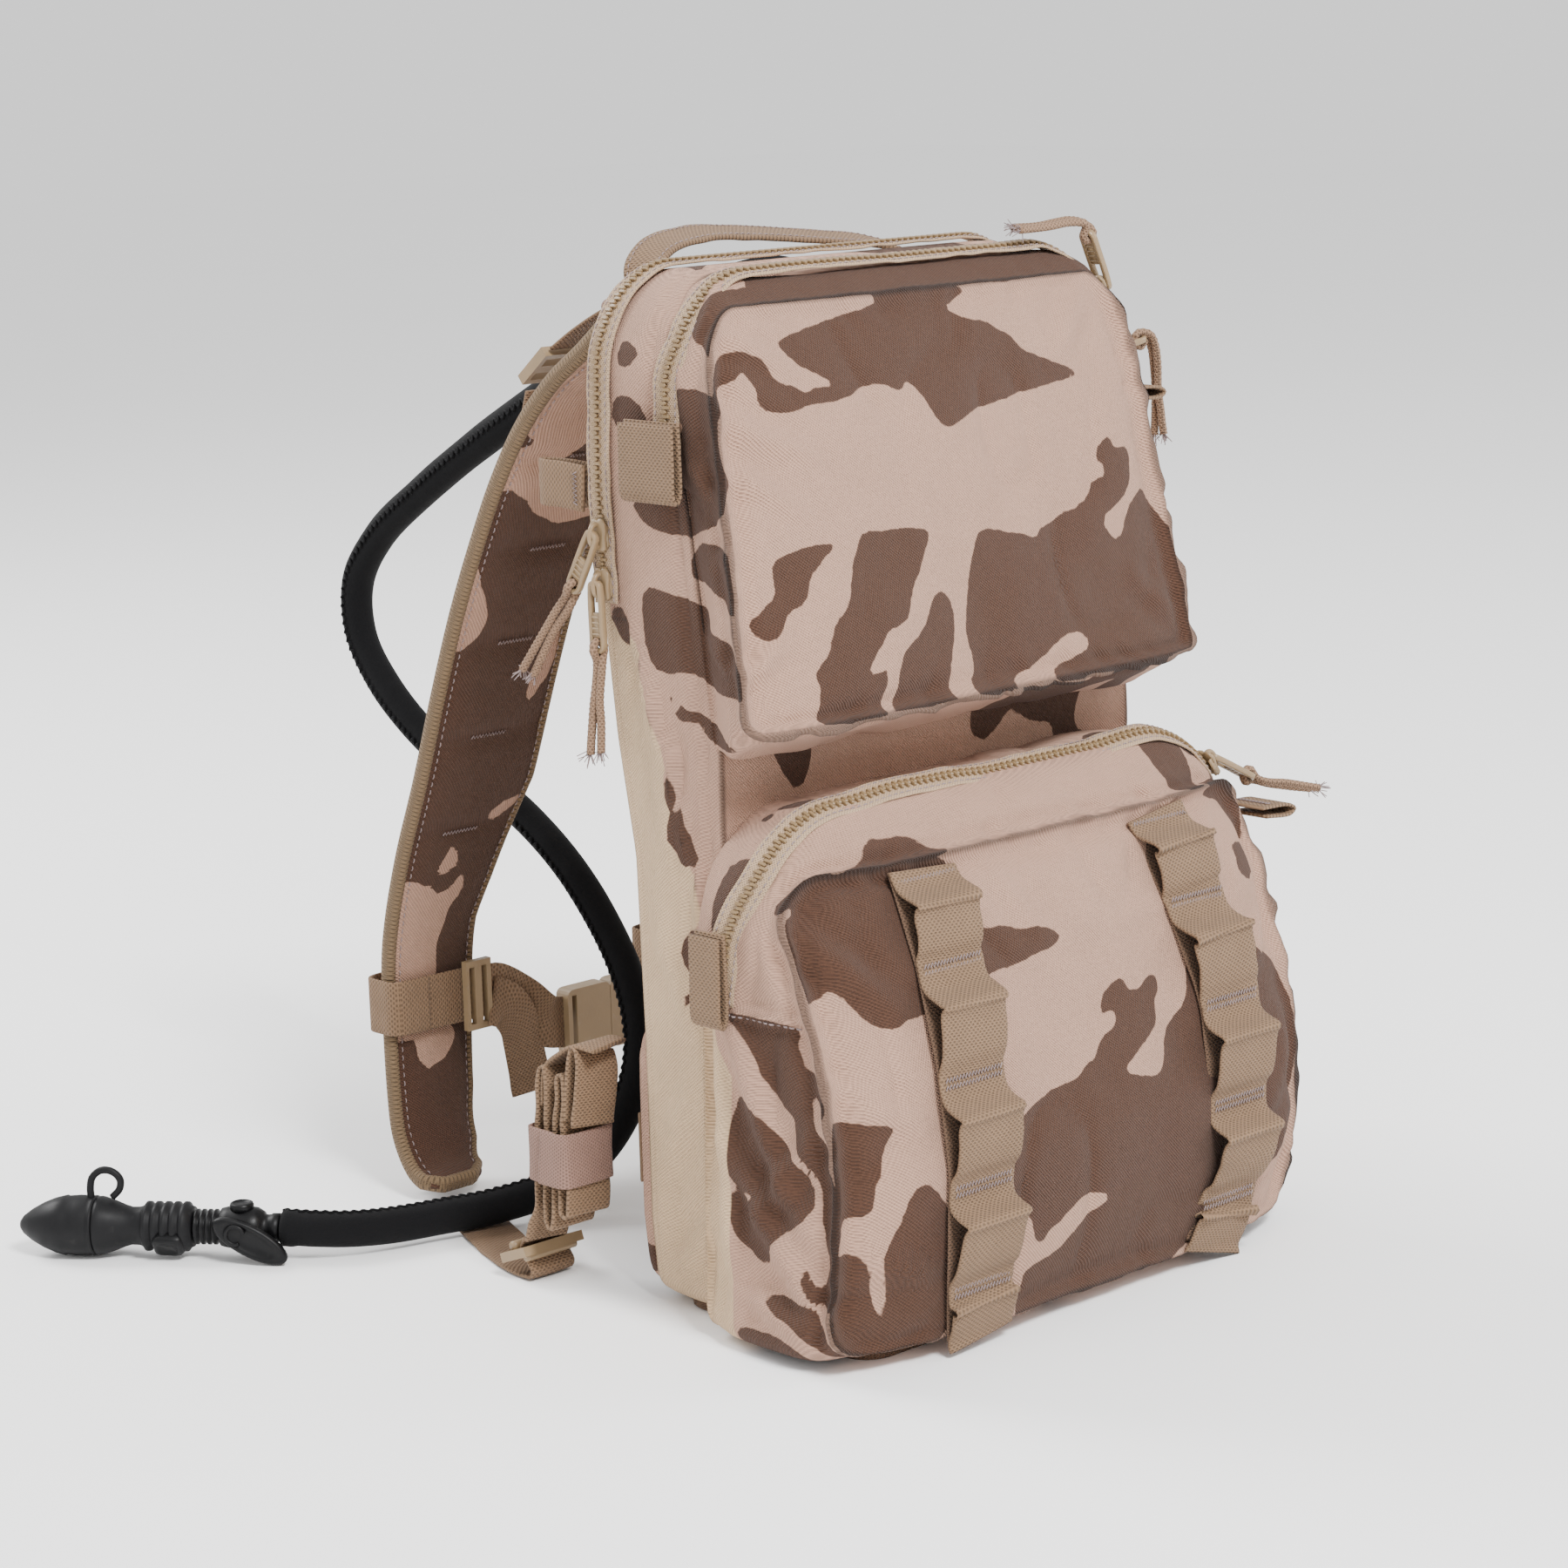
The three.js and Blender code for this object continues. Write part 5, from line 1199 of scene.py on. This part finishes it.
def build_tabs():
    """Folded tabs over the zip ends, hanging on the left and jutting out on the right, and the rear loops."""
    for name, x, y, top, drop, width in (("upper_zip_tab_left", -133.4, 56, 388, 34, 34),
                                         ("lower_zip_tab_left", -151.5, 10, 182, 40, 18)):
        fold = [(x, top), (x, top - drop + 3), (x - 1.7, top - drop + 0.8), (x - 3.4, top - drop + 3),
                (x - 3.6, top - drop / 2), (x - 3.4, top - 1)]
        webbing(f"{name}_fold", [(a, y, z) for a, z in fold], REAR, width, node=name)
    bars = []
    for name, x, y, z, reach, width in (("upper_zip_tab_right", 134, 44, 379, 24, 28),
                                        ("lower_zip_tab_right", 150.5, -22, 190, 22, 24)):
        fold = [(x - 1, 0), (x + reach - 3, 1.5), (x + reach, 3.6), (x + reach - 3, 5.6), (x + 2, 4.4)]
        webbing(f"{name}_fold", [(a, y, z - fall) for a, fall in fold], REAR, width, node=name)
        bars.append(((x + 6, y, z + 0.6), REAR, UP, width - 6, 2.4))
    for side, label in SIDES:
        fold = [(122, 104.6, 356), (122.4, 120, 357), (123, 132, 357), (126, 136.6, 357), (129, 132, 357),
                (129.4, 120, 357), (129, 105.5, 356)]
        webbing(f"rear_loop_{label}_fold", np.array(fold) * (side, 1, 1), UP, 20, node=f"rear_loop_{label}")
        bars.append(((side * 130, 110, 356), UP, side * RIGHT, 14, 2.4))
    sewn("tab_bartacks", bars)


TACK_HEIGHTS = [202, 165, 120, 75, 30, 5]
LOOP_SHAPE = [(0, 0), (0.10, 0), (0.18, 1.2), (0.24, 6.0), (0.28, 10.4), (0.31, 11.0), (0.345, 9.4),
              (0.42, 8.0), (0.6, 6.2), (0.78, 3.4), (0.9, 0.4)]
BOW_SHARE = [[0, 0], [45, 1], [120, 1], [202, 0]]


def build_pocket_webbing():
    """Strips that bow outwards, tacked to a flat backing at set heights with a standing loop between."""
    bars = []
    for (side, label), bow in zip(SIDES, (6, 12)):
        def spot(z, rise=0.0):
            x = side * (73 + bow * table(BOW_SHARE, z))
            return (x, lower_depth(x, max(z, 12)) - 1.5 - rise, z)
        path = []
        for top, low in zip(TACK_HEIGHTS[:-1], TACK_HEIGHTS[1:]):
            slack = 1 if top - low > 30 else 0.35
            path += [spot(top - share * (top - low), rise * slack) for share, rise in LOOP_SHAPE]
        path.append(spot(TACK_HEIGHTS[-1]))
        webbing(f"pocket_strip_{label}", path, RIGHT, STRIP_WIDTH, node=f"pocket_webbing_{label}", ripple=0.6,
                seed=side + 7)
        backing = [spot(z, -0.9) for z in np.arange(202, 4, -12)]
        webbing(f"pocket_backing_{label}", backing, RIGHT, STRIP_WIDTH, 1.2, material="dark_webbing")
        for z in TACK_HEIGHTS[1:-1]:
            x, y, _ = spot(z)
            bars += [((x, y - 0.9, z + shift), RIGHT, -REAR, 33, 2.0) for shift in (-1.6, 1.6)]
        x, y, _ = spot(200)
        bars.append(((x, y - 0.9, 199), RIGHT, (0, -1, 0.6), 34, 1.6))
    sewn("strip_bartacks", bars)


def build_handle():
    points = [(-82.5, 115.5, 430), (-81, 118, 443), (-69, 123, 452.5), (-42, 127.5, 457), (-8, 129, 455.5),
              (34, 127, 451), (64, 122.5, 447), (79.5, 117.5, 440.5), (82.5, 115.5, 430)]
    wide = np.array([0, 0.97, 0.24])
    webbing("grab_handle_webbing", points, wide, 19, 2.4, node="grab_handle", ripple=0.3)
    path = spline(points, 2.0)[6:-6]
    t = tangents(path)
    across = unit(wide - t * (t @ wide)[:, None])
    for side, word in ((-1, "front"), (1, "rear")):
        stitches(f"handle_stitches_{word}", path + across * side * 7, np.cross(t, across), lift=1.4)


# Harness

PAD_LINE = [[111, 425], [128, 412], [150, 397], [172, 376], [191, 350], [208, 320], [224, 288], [240, 250],
            [257, 206], [274, 166], [285, 132], [288.5, 112], [289, 50], [286, 28], [276, 13], [262, 8]]
PAD_TACKS = (362, 318, 272, 226, 180, 84)
STRAP_X = [[30, -86], [120, -84], [300, -69.5], [350, -64.5], [372, -63.5]]
PAD_WIDTH = [[8, 34], [20, 42], [45, 46], [130, 50], [150, 56], [200, 68], [440, 70]]
PAD_HALF_SECTION = [(-0.985, 0.34), (-0.93, 0.52), (-0.8, 0.80), (-0.55, 0.97), (-0.2, 1.0), (0.2, 1.0),
                    (0.55, 0.97), (0.8, 0.80), (0.93, 0.52), (0.985, 0.34)]
PAD_SECTION = np.array([(-1, 0), *PAD_HALF_SECTION, (1, 0), *[(a, -b) for a, b in PAD_HALF_SECTION[::-1]]])
PAD_PATH = spline([(0, y, z) for y, z in PAD_LINE], 2.5)
PAD_TANGENT = tangents(PAD_PATH)
PAD_NORMAL = unit(np.cross(RIGHT, PAD_TANGENT))
PAD_OUTER_X = 108
STRAP_END_X = 86
LIFTER_X = 63.5


def pad_row(z):
    """Index of the pad's path point at a height."""
    return int(np.argmin(np.abs(PAD_PATH[:, 2] - z)))


def strap_x(side, z):
    return -side * float(table(STRAP_X, z))


def pad_rows(side):
    """Centre line, half width and half thickness along a shoulder pad."""
    half = table(PAD_WIDTH, PAD_PATH[:, 2]) / 2
    along = lengths(PAD_PATH)
    to_end = np.minimum(along, along[-1] - along)
    thick = 5.6 * (0.45 + 0.55 * np.clip(to_end / 14, 0, 1)**0.5)
    return PAD_PATH + RIGHT * side * (PAD_OUTER_X - half)[:, None], half, thick


def build_pad(side, label):
    path, normal, count = PAD_PATH, PAD_NORMAL, len(PAD_SECTION)
    centre, half, thick = pad_rows(side)
    along = lengths(path)
    round_foot = np.sqrt(1 - (1 - np.clip((along[-1] - along) / 11, 0, 1))**2)
    reach = half * (0.72 + 0.28 * round_foot)
    verts, faces = swept(centre, reach[:, None] * RIGHT, thick[:, None] * normal, PAD_SECTION)

    # Soft between its rims, and tucked where the webbing is tacked to it
    across, up = np.tile(PAD_SECTION, (len(path), 1)).T
    middle = np.clip((1 - np.abs(across)) * 3, 0, 1)
    tuck = sum(np.exp(-((path[:, 2] - z) / 5.5)**2) for z in PAD_TACKS)
    soft = wander(verts, 40, 90 + side) + 0.45 * wander(verts, 17, 93 + side) - 1.9 * np.repeat(tuck, count)
    verts = verts + np.repeat(normal, count, axis=0) * (np.sign(up) * soft * middle)[:, None]
    camo = random_blotches(verts, 120 + 5 * side, 0.02) - 26 * np.clip((130 - verts[:, 2]) / 40, 0, 1)
    pad = make(f"shoulder_pad_{label}_cushion", verts, faces, "camo", node=f"shoulder_pad_{label}",
               fields=all_camouflage(camo))
    rows = [(pad_row(z), strap_x(side, z)) for z in PAD_TACKS]
    sewn(f"shoulder_pad_{label}_bartacks",
         [(path[k] + RIGHT * x - normal[k] * (thick[k] - 0.9), RIGHT, -normal[k], 20, 1.6) for k, x in rows])


def build_binding(side, label):
    """Bound edge down a pad's inner side, round its foot and up again, and the stitches beside it."""
    outside = RIGHT * side
    centre, half, thick = pad_rows(side)
    reach = half - 1.2
    last = len(PAD_PATH) - 1
    onward, normal = PAD_TANGENT[last], PAD_NORMAL[last]
    rim = [(centre[k] - outside * reach[k], -outside, PAD_NORMAL[k]) for k in range(last - 2)]
    for s in np.linspace(-0.9, 0.9, 19):
        drop = 1.0 + 4.5 * max(abs(s) - 0.55, 0) / 0.35
        outward = unit(onward * (1 - abs(s)**3) + outside * s * abs(s))
        rim.append((centre[last] + outside * s * reach[last] - onward * drop, outward, normal))
    rim += [(centre[k] + outside * reach[k], outside, PAD_NORMAL[k]) for k in range(last - 3, -1, -1)]
    line, sides, upward = (np.array(rows) for rows in zip(*rim))
    verts, faces = swept(line, sides, upward, oval(3.0, 4.2, 12))
    uv = np.stack([np.tile(np.linspace(0, 18, 12), len(line)), np.repeat(lengths(line), 12)], 1)
    make(f"shoulder_pad_{label}_binding", verts, faces, "binding", uv=uv)
    for edge, word in ((-1, "inner"), (1, "outer")):
        row = centre + outside * edge * (half - 4.4)[:, None] - PAD_NORMAL * (thick * 0.82)[:, None]
        stitches(f"shoulder_pad_{label}_{word}_stitches", row, -PAD_NORMAL, pitch=4.2)


def build_strap_webbing(side, label):
    """Webbing down the pad from its ladder lock, and the load lifter that joins the lock to the bag."""
    outer = PAD_PATH + PAD_NORMAL * 6.9
    lying = outer[(outer[:, 2] < 318) & (outer[:, 2] > 34)][::4]
    run = [(0, 206, 387), (0, 211, 372), (0, 214, 350), *lying, (0, 297, 24)]
    webbing(f"strap_webbing_{label}_band", [(strap_x(side, z), y, z) for _, y, z in run], RIGHT, STRAP_WIDTH,
            node=f"strap_webbing_{label}", ripple=0.4, seed=30 + side)
    lift = [(side * LIFTER_X, y, z) for y, z in ((104, 437), (124, 434), (150, 426), (172, 416), (188, 407))]
    webbing(f"load_lifter_{label}_band", lift, RIGHT, STRAP_WIDTH, node=f"load_lifter_{label}")
    lie = unit([0, 26, -8])
    above = np.cross(RIGHT, lie)
    ring = [(-10, -2.6), (-12.8, -2.4), (-14.6, 0), (-12.8, 2.6), (0, 3.2), (12.8, 2.6), (14.6, 0),
            (12.8, -2.4), (0, -2.8), (-11, -3.6)]
    points = [np.array([side * LIFTER_X + a, 137, 430.3]) + above * h for a, h in ring]
    webbing(f"load_lifter_elastic_{label}", points, lie, 25, 1.2, material="elastic", step=1.5)
    rows = [(pad_row(z), strap_x(side, z)) for z in (286, 226, 172, 128, 60)]
    sewn(f"strap_bartacks_{label}",
         [(PAD_PATH[k] + RIGHT * x + PAD_NORMAL[k] * 7.9, RIGHT, PAD_NORMAL[k], 21, 2.2) for k, x in rows])


def build_strap_end(side, label):
    """Adjuster, elastic and end buckle at the lower end of the strap's webbing."""
    parts = []
    for z, tall, rise in ((66, 13, 9.2), (30, 9, 10.2), (18, 9, 10.6)):
        k = pad_row(z)
        seat = PAD_PATH[k] + RIGHT * side * STRAP_END_X + PAD_NORMAL[k] * rise
        parts.append(plate(rounded(15.5, tall / 2, 2.6), seat, RIGHT, PAD_TANGENT[k], PAD_NORMAL[k],
                           [(0.94, -1.6), (1, -1.0), (1, 0.8), (0.95, 1.3), (0.7, 1.5)]))
    make(f"strap_end_fittings_{label}", *merged(parts), "hardware")
    over = [(-16, 6.2), (-15, 8.0), (-12.5, 8.9), (0, 9.2), (12.5, 8.9), (15, 8.0), (16, 6.2)]
    hold_down(f"strap_end_elastic_{label}", pad_row(46), side * STRAP_END_X, over, 22, 1.3)


def build_keepers(side, label):
    """Elastic loops that hold the strap against the pad."""
    over = [(-19, 6.0), (-16, 7.4), (-13.5, 9.0), (0, 9.6), (13.5, 9.0), (16, 7.4), (19, 6.0)]
    for n, z in enumerate((330, 262, 200, 150), 1):
        hold_down(f"elastic_keeper_{label}_{n}", pad_row(z), strap_x(side, z), over, 13, 1.2)


def hold_down(name, k, x, over, width, thickness):
    """Elastic over the webbing at a point of the pad's path, from (side, height) rows."""
    points = [PAD_PATH[k] + RIGHT * (x + a) + PAD_NORMAL[k] * h for a, h in over]
    webbing(name, points, PAD_TANGENT[k], width, thickness, material="elastic")


# Sternum strap

KEEPER_RING = [(108, 281), (60, 280.4), (56.4, 283), (56, 291), (56.4, 299.2), (60, 301.8), (106, 301.8),
               (110, 299.2), (110.6, 291), (110, 283.4), (106, 280.6), (90, 280)]


def build_sternum():
    """Keeper loops round both pads, the two halves of the sternum strap and its hanging tail."""
    body = "sternum_strap"
    for side, label, z, node in ((-1, "left", 93, None), (1, "right", 86, "sternum_keeper_right")):
        points = [(side * x, y, z) for x, y in KEEPER_RING]
        webbing(f"sternum_keeper_{label}_loop", points, UP, 26.5, 1.7, body, node=node, step=1.5)
    left = [(-68, 278.8, 93), (-58, 278.6, 92.6), (-50, 279.2, 92), (-36, 278, 83), (-25, 272, 72),
            (-11.6, 271, 69)]
    webbing("sternum_strap_left_band", left, UP, 25.5, WEB_THICKNESS, body, node="sternum_webbing_left")
    right = [(31, 271, 69), (39.3, 271.2, 69.4), (46.8, 272.5, 74), (57, 278.0, 83.4), (66, 278.7, 86)]
    strap = webbing("sternum_strap_right_band", right, UP, 25.5, WEB_THICKNESS, body,
                    node="sternum_webbing_right")
    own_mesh(strap)
    tail = [(-56, 275.2, 88), (-48, 273.5, 84), (-42, 272.5, 74), (-39.5, 272, 60), (-38.5, 270.5, 48),
            (-38.2, 268.5, 40)]
    webbing("sternum_strap_tail", tail, (0.9, 0.1, 0.4), STRAP_WIDTH, WEB_THICKNESS, body, ripple=0.5)


# Lower adjusters, lumbar pad and base

def build_lower_straps(side, label):
    """Spare webbing folded into a hank under an elastic, and the webbing on to the shoulder pad."""
    x = side * 135.5

    def lean(y, z):
        return (x - side * 0.10 * (z - 60), y + 0.10 * (z - 60), z)

    turns = [(143.5, 20), (140.0, 27), (135.2, 38), (133.6, 62), (131.8, 92), (130.6, 99.4), (127.8, 100.6),
             (126.2, 94), (127.6, 62), (129.2, 40), (128.8, 31.6), (125.6, 29.4), (123.0, 38), (121.6, 64),
             (119.4, 88), (117.6, 98.2), (114.6, 98.0), (114.4, 88), (116.8, 66), (118.4, 46), (117.8, 37.4),
             (114.6, 37), (113.4, 46), (113.0, 60)]
    webbing(f"adjuster_hank_{label}_folds", [lean(y, z) for y, z in turns], RIGHT, 24.6, 1.9,
            node=f"adjuster_hank_{label}", step=1.6, ripple=0.7, seed=side + 50)
    rise = [lean(130, 82), lean(127.5, 100), (x - side * 4.5, 122, 108), (x - side * 5, 113, 112.5),
            (x - side * 7, 103, 112)]
    webbing(f"adjuster_rise_{label}", rise, RIGHT, 23, 1.8)
    flap = [(114, 78), (112.6, 92), (110.4, 105), (107.6, 109.5), (105.4, 104), (106.6, 90), (108.8, 76)]
    webbing(f"adjuster_flap_{label}", [lean(y, z) for y, z in flap], (0.96, 0.0, 0.28 * side), 24, 1.8,
            ripple=0.6, seed=side + 54)
    ring = [(-14.0, 121), (-14.0, 133), (-12.9, 136.4), (-9, 137.4), (9, 137.4), (12.9, 136.4), (14.0, 133),
            (14.0, 115), (12.9, 112), (9, 111.2), (-9, 111.2), (-12.9, 112), (-14.6, 115), (-15.2, 121),
            (-15.4, 127)]
    webbing(f"adjuster_elastic_{label}", [(x + a, y, 62) for a, y in ring], (-0.1 * side, 0.1, 1), 24, 1.1,
            material="elastic", step=1.5)
    lead = [lean(142.5, 24), (x, 145.4, 15), (x, 142.2, 9), (x, 139.6, 5.4), (x, 141.0, 2.2), (x, 147, 1.5),
            (x - side * 0.6, 156, 1.5), (side * 131, 170, 1.4), (side * 122, 195, 1.4),
            (side * 110, 222, 1.4), (side * 98, 240, 2), (side * 90, 254, 2.4)]
    webbing(f"adjuster_lead_{label}", lead, RIGHT, STRAP_WIDTH, node=f"adjuster_webbing_{label}", ripple=0.5,
            seed=60 + side)
    bars = [round_tube([(x + a, y, z) for a in (-14, 0, 14)], 2.3) for y, z in ((150.8, 15.2), (141.4, 12.4))]
    make(f"adjuster_bars_{label}", *merged(bars), "hardware")


def build_lumbar():
    """Quilted pad across the foot of the back, with a band of webbing tacked to it."""
    crest = [[4, 90], [14, 99], [40, 103], [95, 103], [118, 97], [124, 92]]
    edges = []
    for inset, behind in ((0.6, 0.0), (0.0, 2.4), (0.4, 5.6)):
        loop = arch_loop(4 + inset, 124 - inset, 124 - inset, 108, 108 - inset, 124 - inset, corner=15)
        edges.append(np.column_stack([loop[:, 0], loop_depth(BACK_SEAM, loop) + 6.8 + behind, loop[:, 1]]))

    def depth(x, z):
        edge = np.clip(np.minimum((124 - np.abs(x)) / 22, np.minimum((z - 4) / 18, (124 - z) / 18)), 0, 1)
        quilt = 0.8 + 0.2 * np.abs(np.sin(math.pi * x / 62))**0.5
        panel = table(BACK_SEAM, z)
        return panel + 10 + (table(crest, z) - panel - 9.5) * edge**0.5 * quilt

    rows = np.vstack([edges, face_rings(edges[-1], depth, 26)])
    faces = [f[::-1] for f in closed_faces(*rows.shape[:2], ends=1)]
    verts = rows.reshape(-1, 3)
    verts = verts + REAR * (0.5 * wander(verts, 30, 71))[:, None]
    pad = make("lumbar_cushion", verts, faces, "camo", node="lumbar_pad",
               fields=all_camouflage(random_blotches(verts, 151, 0.05)))
    run = [(x, 104.4, 62) for x in np.linspace(-112, 112, 30)]
    webbing("lumbar_webbing", run, UP, 32, node="lumbar_band")
    sewn("lumbar_bartacks", [((x, 105.3, 62), UP, REAR, 26, 2.4) for x in (-104, -52, 0, 52, 104)])


def build_base():
    verts, faces = plate(rounded(121, 58, 14), np.array([0, 13, 0.0]), RIGHT, REAR, UP,
                         [(0.994, 0.1), (1, 0.8), (1, 3.4), (0.99, 4.2)])
    uv = np.stack([verts[:, 2] * 2 + verts[:, 1], verts[:, 0]], 1)
    make("base_reinforcement", verts, faces, "dark_webbing", node="base_panel", uv=uv, smooth=False)


# Reservoir behind the back panel

def node_box(node):
    low, high = (np.array(corner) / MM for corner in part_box(node))
    return (low + high) / 2, (high - low) / 2


def pillow(name, node, material, behind, half_depth, power=4, rows=30, cols=44):
    """A filled flat bag as wide and tall as a CAD node, leaning with the back panel."""
    centre, half = node_box(node)
    tilt = np.linspace(-math.pi / 2, math.pi / 2, rows)[:, None]
    outline = np.array(oval(1, 1, cols, 2 / power))
    bulge = half_depth * np.sign(np.sin(tilt)) * np.abs(np.sin(tilt))**0.8
    x = centre[0] + half[0] * np.cos(tilt) * outline[:, 0]
    z = centre[2] + half[2] * np.cos(tilt) * outline[:, 1]
    verts = np.stack(np.broadcast_arrays(x, bulge, z), axis=-1).reshape(-1, 3)
    verts = verts + REAR * (table(BACK_SEAM, verts[:, 2]) - behind + 0.5 * wander(verts, 28, 81))[:, None]
    make(name, verts, grid_faces(rows, cols), material, node=node)


def build_reservoir():
    pillow("reservoir_skin_bag", "reservoir_bladder", "film", 11, 9)
    pillow("reservoir_sleeve_cloth", "reservoir_sleeve", "tan", 23, 0.9, power=9)
    centre, half = node_box("reservoir_fill_cap")
    ribs = 30
    turn = angles(ribs * 4)
    groove = np.where(np.arange(ribs * 4) % 4 < 2, 0.97, 1.0)
    outline = np.column_stack([np.cos(turn), np.sin(turn)]) * (half[0] * groove)[:, None]
    low, high = -half[1], half[1]
    rows = [(0.96, low), (1, low + 1), (1, high - 1.5), (0.93, high - 0.3), (0.8, high), (0.1, high)]
    verts, faces = plate(outline[::-1], centre, RIGHT, UP, REAR, rows)
    make("fill_cap_ribbed", verts, faces, "black", "fill_cap", "fill_cap", node="reservoir_fill_cap",
         smooth=False)


# Moulded parts that keep their CAD shape, softened at the edges

def finish_hardware():
    pairs = [f"{kind}_{label}" for kind in ("ladder_lock", "sternum_tri_glide", "adjuster_tri_glide")
             for _, label in SIDES]
    for name in ["buckle_female", "buckle_male", *pairs]:
        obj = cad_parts[name]
        obj.data.materials.clear()
        obj.data.materials.append(MATERIALS["hardware"])
        bevel = obj.modifiers.new("soft_edges", "BEVEL")
        bevel.width = 1.2 * MM
        bevel.segments = 3
        bevel.limit_method = "ANGLE"


# Stage

def area_light(name, place, aim, size, watts, colour=(1, 1, 1)):
    data = bpy.data.lights.new(name, "AREA")
    data.energy = watts
    data.size = size
    data.color = colour
    light = bpy.data.objects.new(name, data)
    light.location = place
    light.rotation_euler = (Vector(aim) - Vector(place)).to_track_quat("-Z", "Y").to_euler()
    scene.collection.objects.link(light)


def build_stage():
    mesh = bpy.data.meshes.new("floor")
    mesh.from_pydata([(-9, -9, 0), (9, -9, 0), (9, 9, 0), (-9, 9, 0)], [], [(0, 1, 2, 3)])
    floor = bpy.data.objects.new("floor", mesh)
    n = Nodes("studio_floor", 0.9, Specular_IOR_Level=0.0)
    mesh.materials.append(n.finish(n.shade([0.98, 0.98, 0.98], n.noise(900, 1.0), 0.01), []))
    scene.collection.objects.link(floor)
    world = bpy.data.worlds.new("studio")
    world.use_nodes = True
    background = world.node_tree.nodes["Background"]
    background.inputs["Color"].default_value = (1, 1, 1, 1)
    background.inputs["Strength"].default_value = 1.15
    scene.world = world
    area_light("key", (-0.6, -2.0, 2.6), (0, 0, 0.25), 0.8, 150)
    area_light("side", (1.7, -1.2, 1.2), (0, 0, 0.25), 0.9, 16)
    area_light("rear", (-0.6, 2.0, 1.8), (0, 0, 0.25), 1.2, 60)


add_camera()
tube, tube_seam, tube_path = build_tube()
valve = build_shutoff() + build_mouthpiece() + build_cap() + build_lever()
build_upper_pocket()
build_lower_pocket()
build_main_bag()
build_back_panel()
for zip_name in ZIPS:
    build_zip(zip_name)
for number, (body, zip_name, which, seat, out, nose, hang, face, steps) in enumerate(SLIDERS):
    build_slider(body, zip_name, which, seat, out, nose)
    build_pull(body, zip_name, which, seat, out, hang, face, steps, 200 + 10 * number)
build_tabs()
build_pocket_webbing()
build_handle()
for side, label in SIDES:
    build_pad(side, label)
    build_binding(side, label)
    build_strap_webbing(side, label)
    build_keepers(side, label)
    build_strap_end(side, label)
    build_lower_straps(side, label)
build_sternum()
build_lumbar()
build_base()
build_reservoir()
finish_hardware()
build_stage()
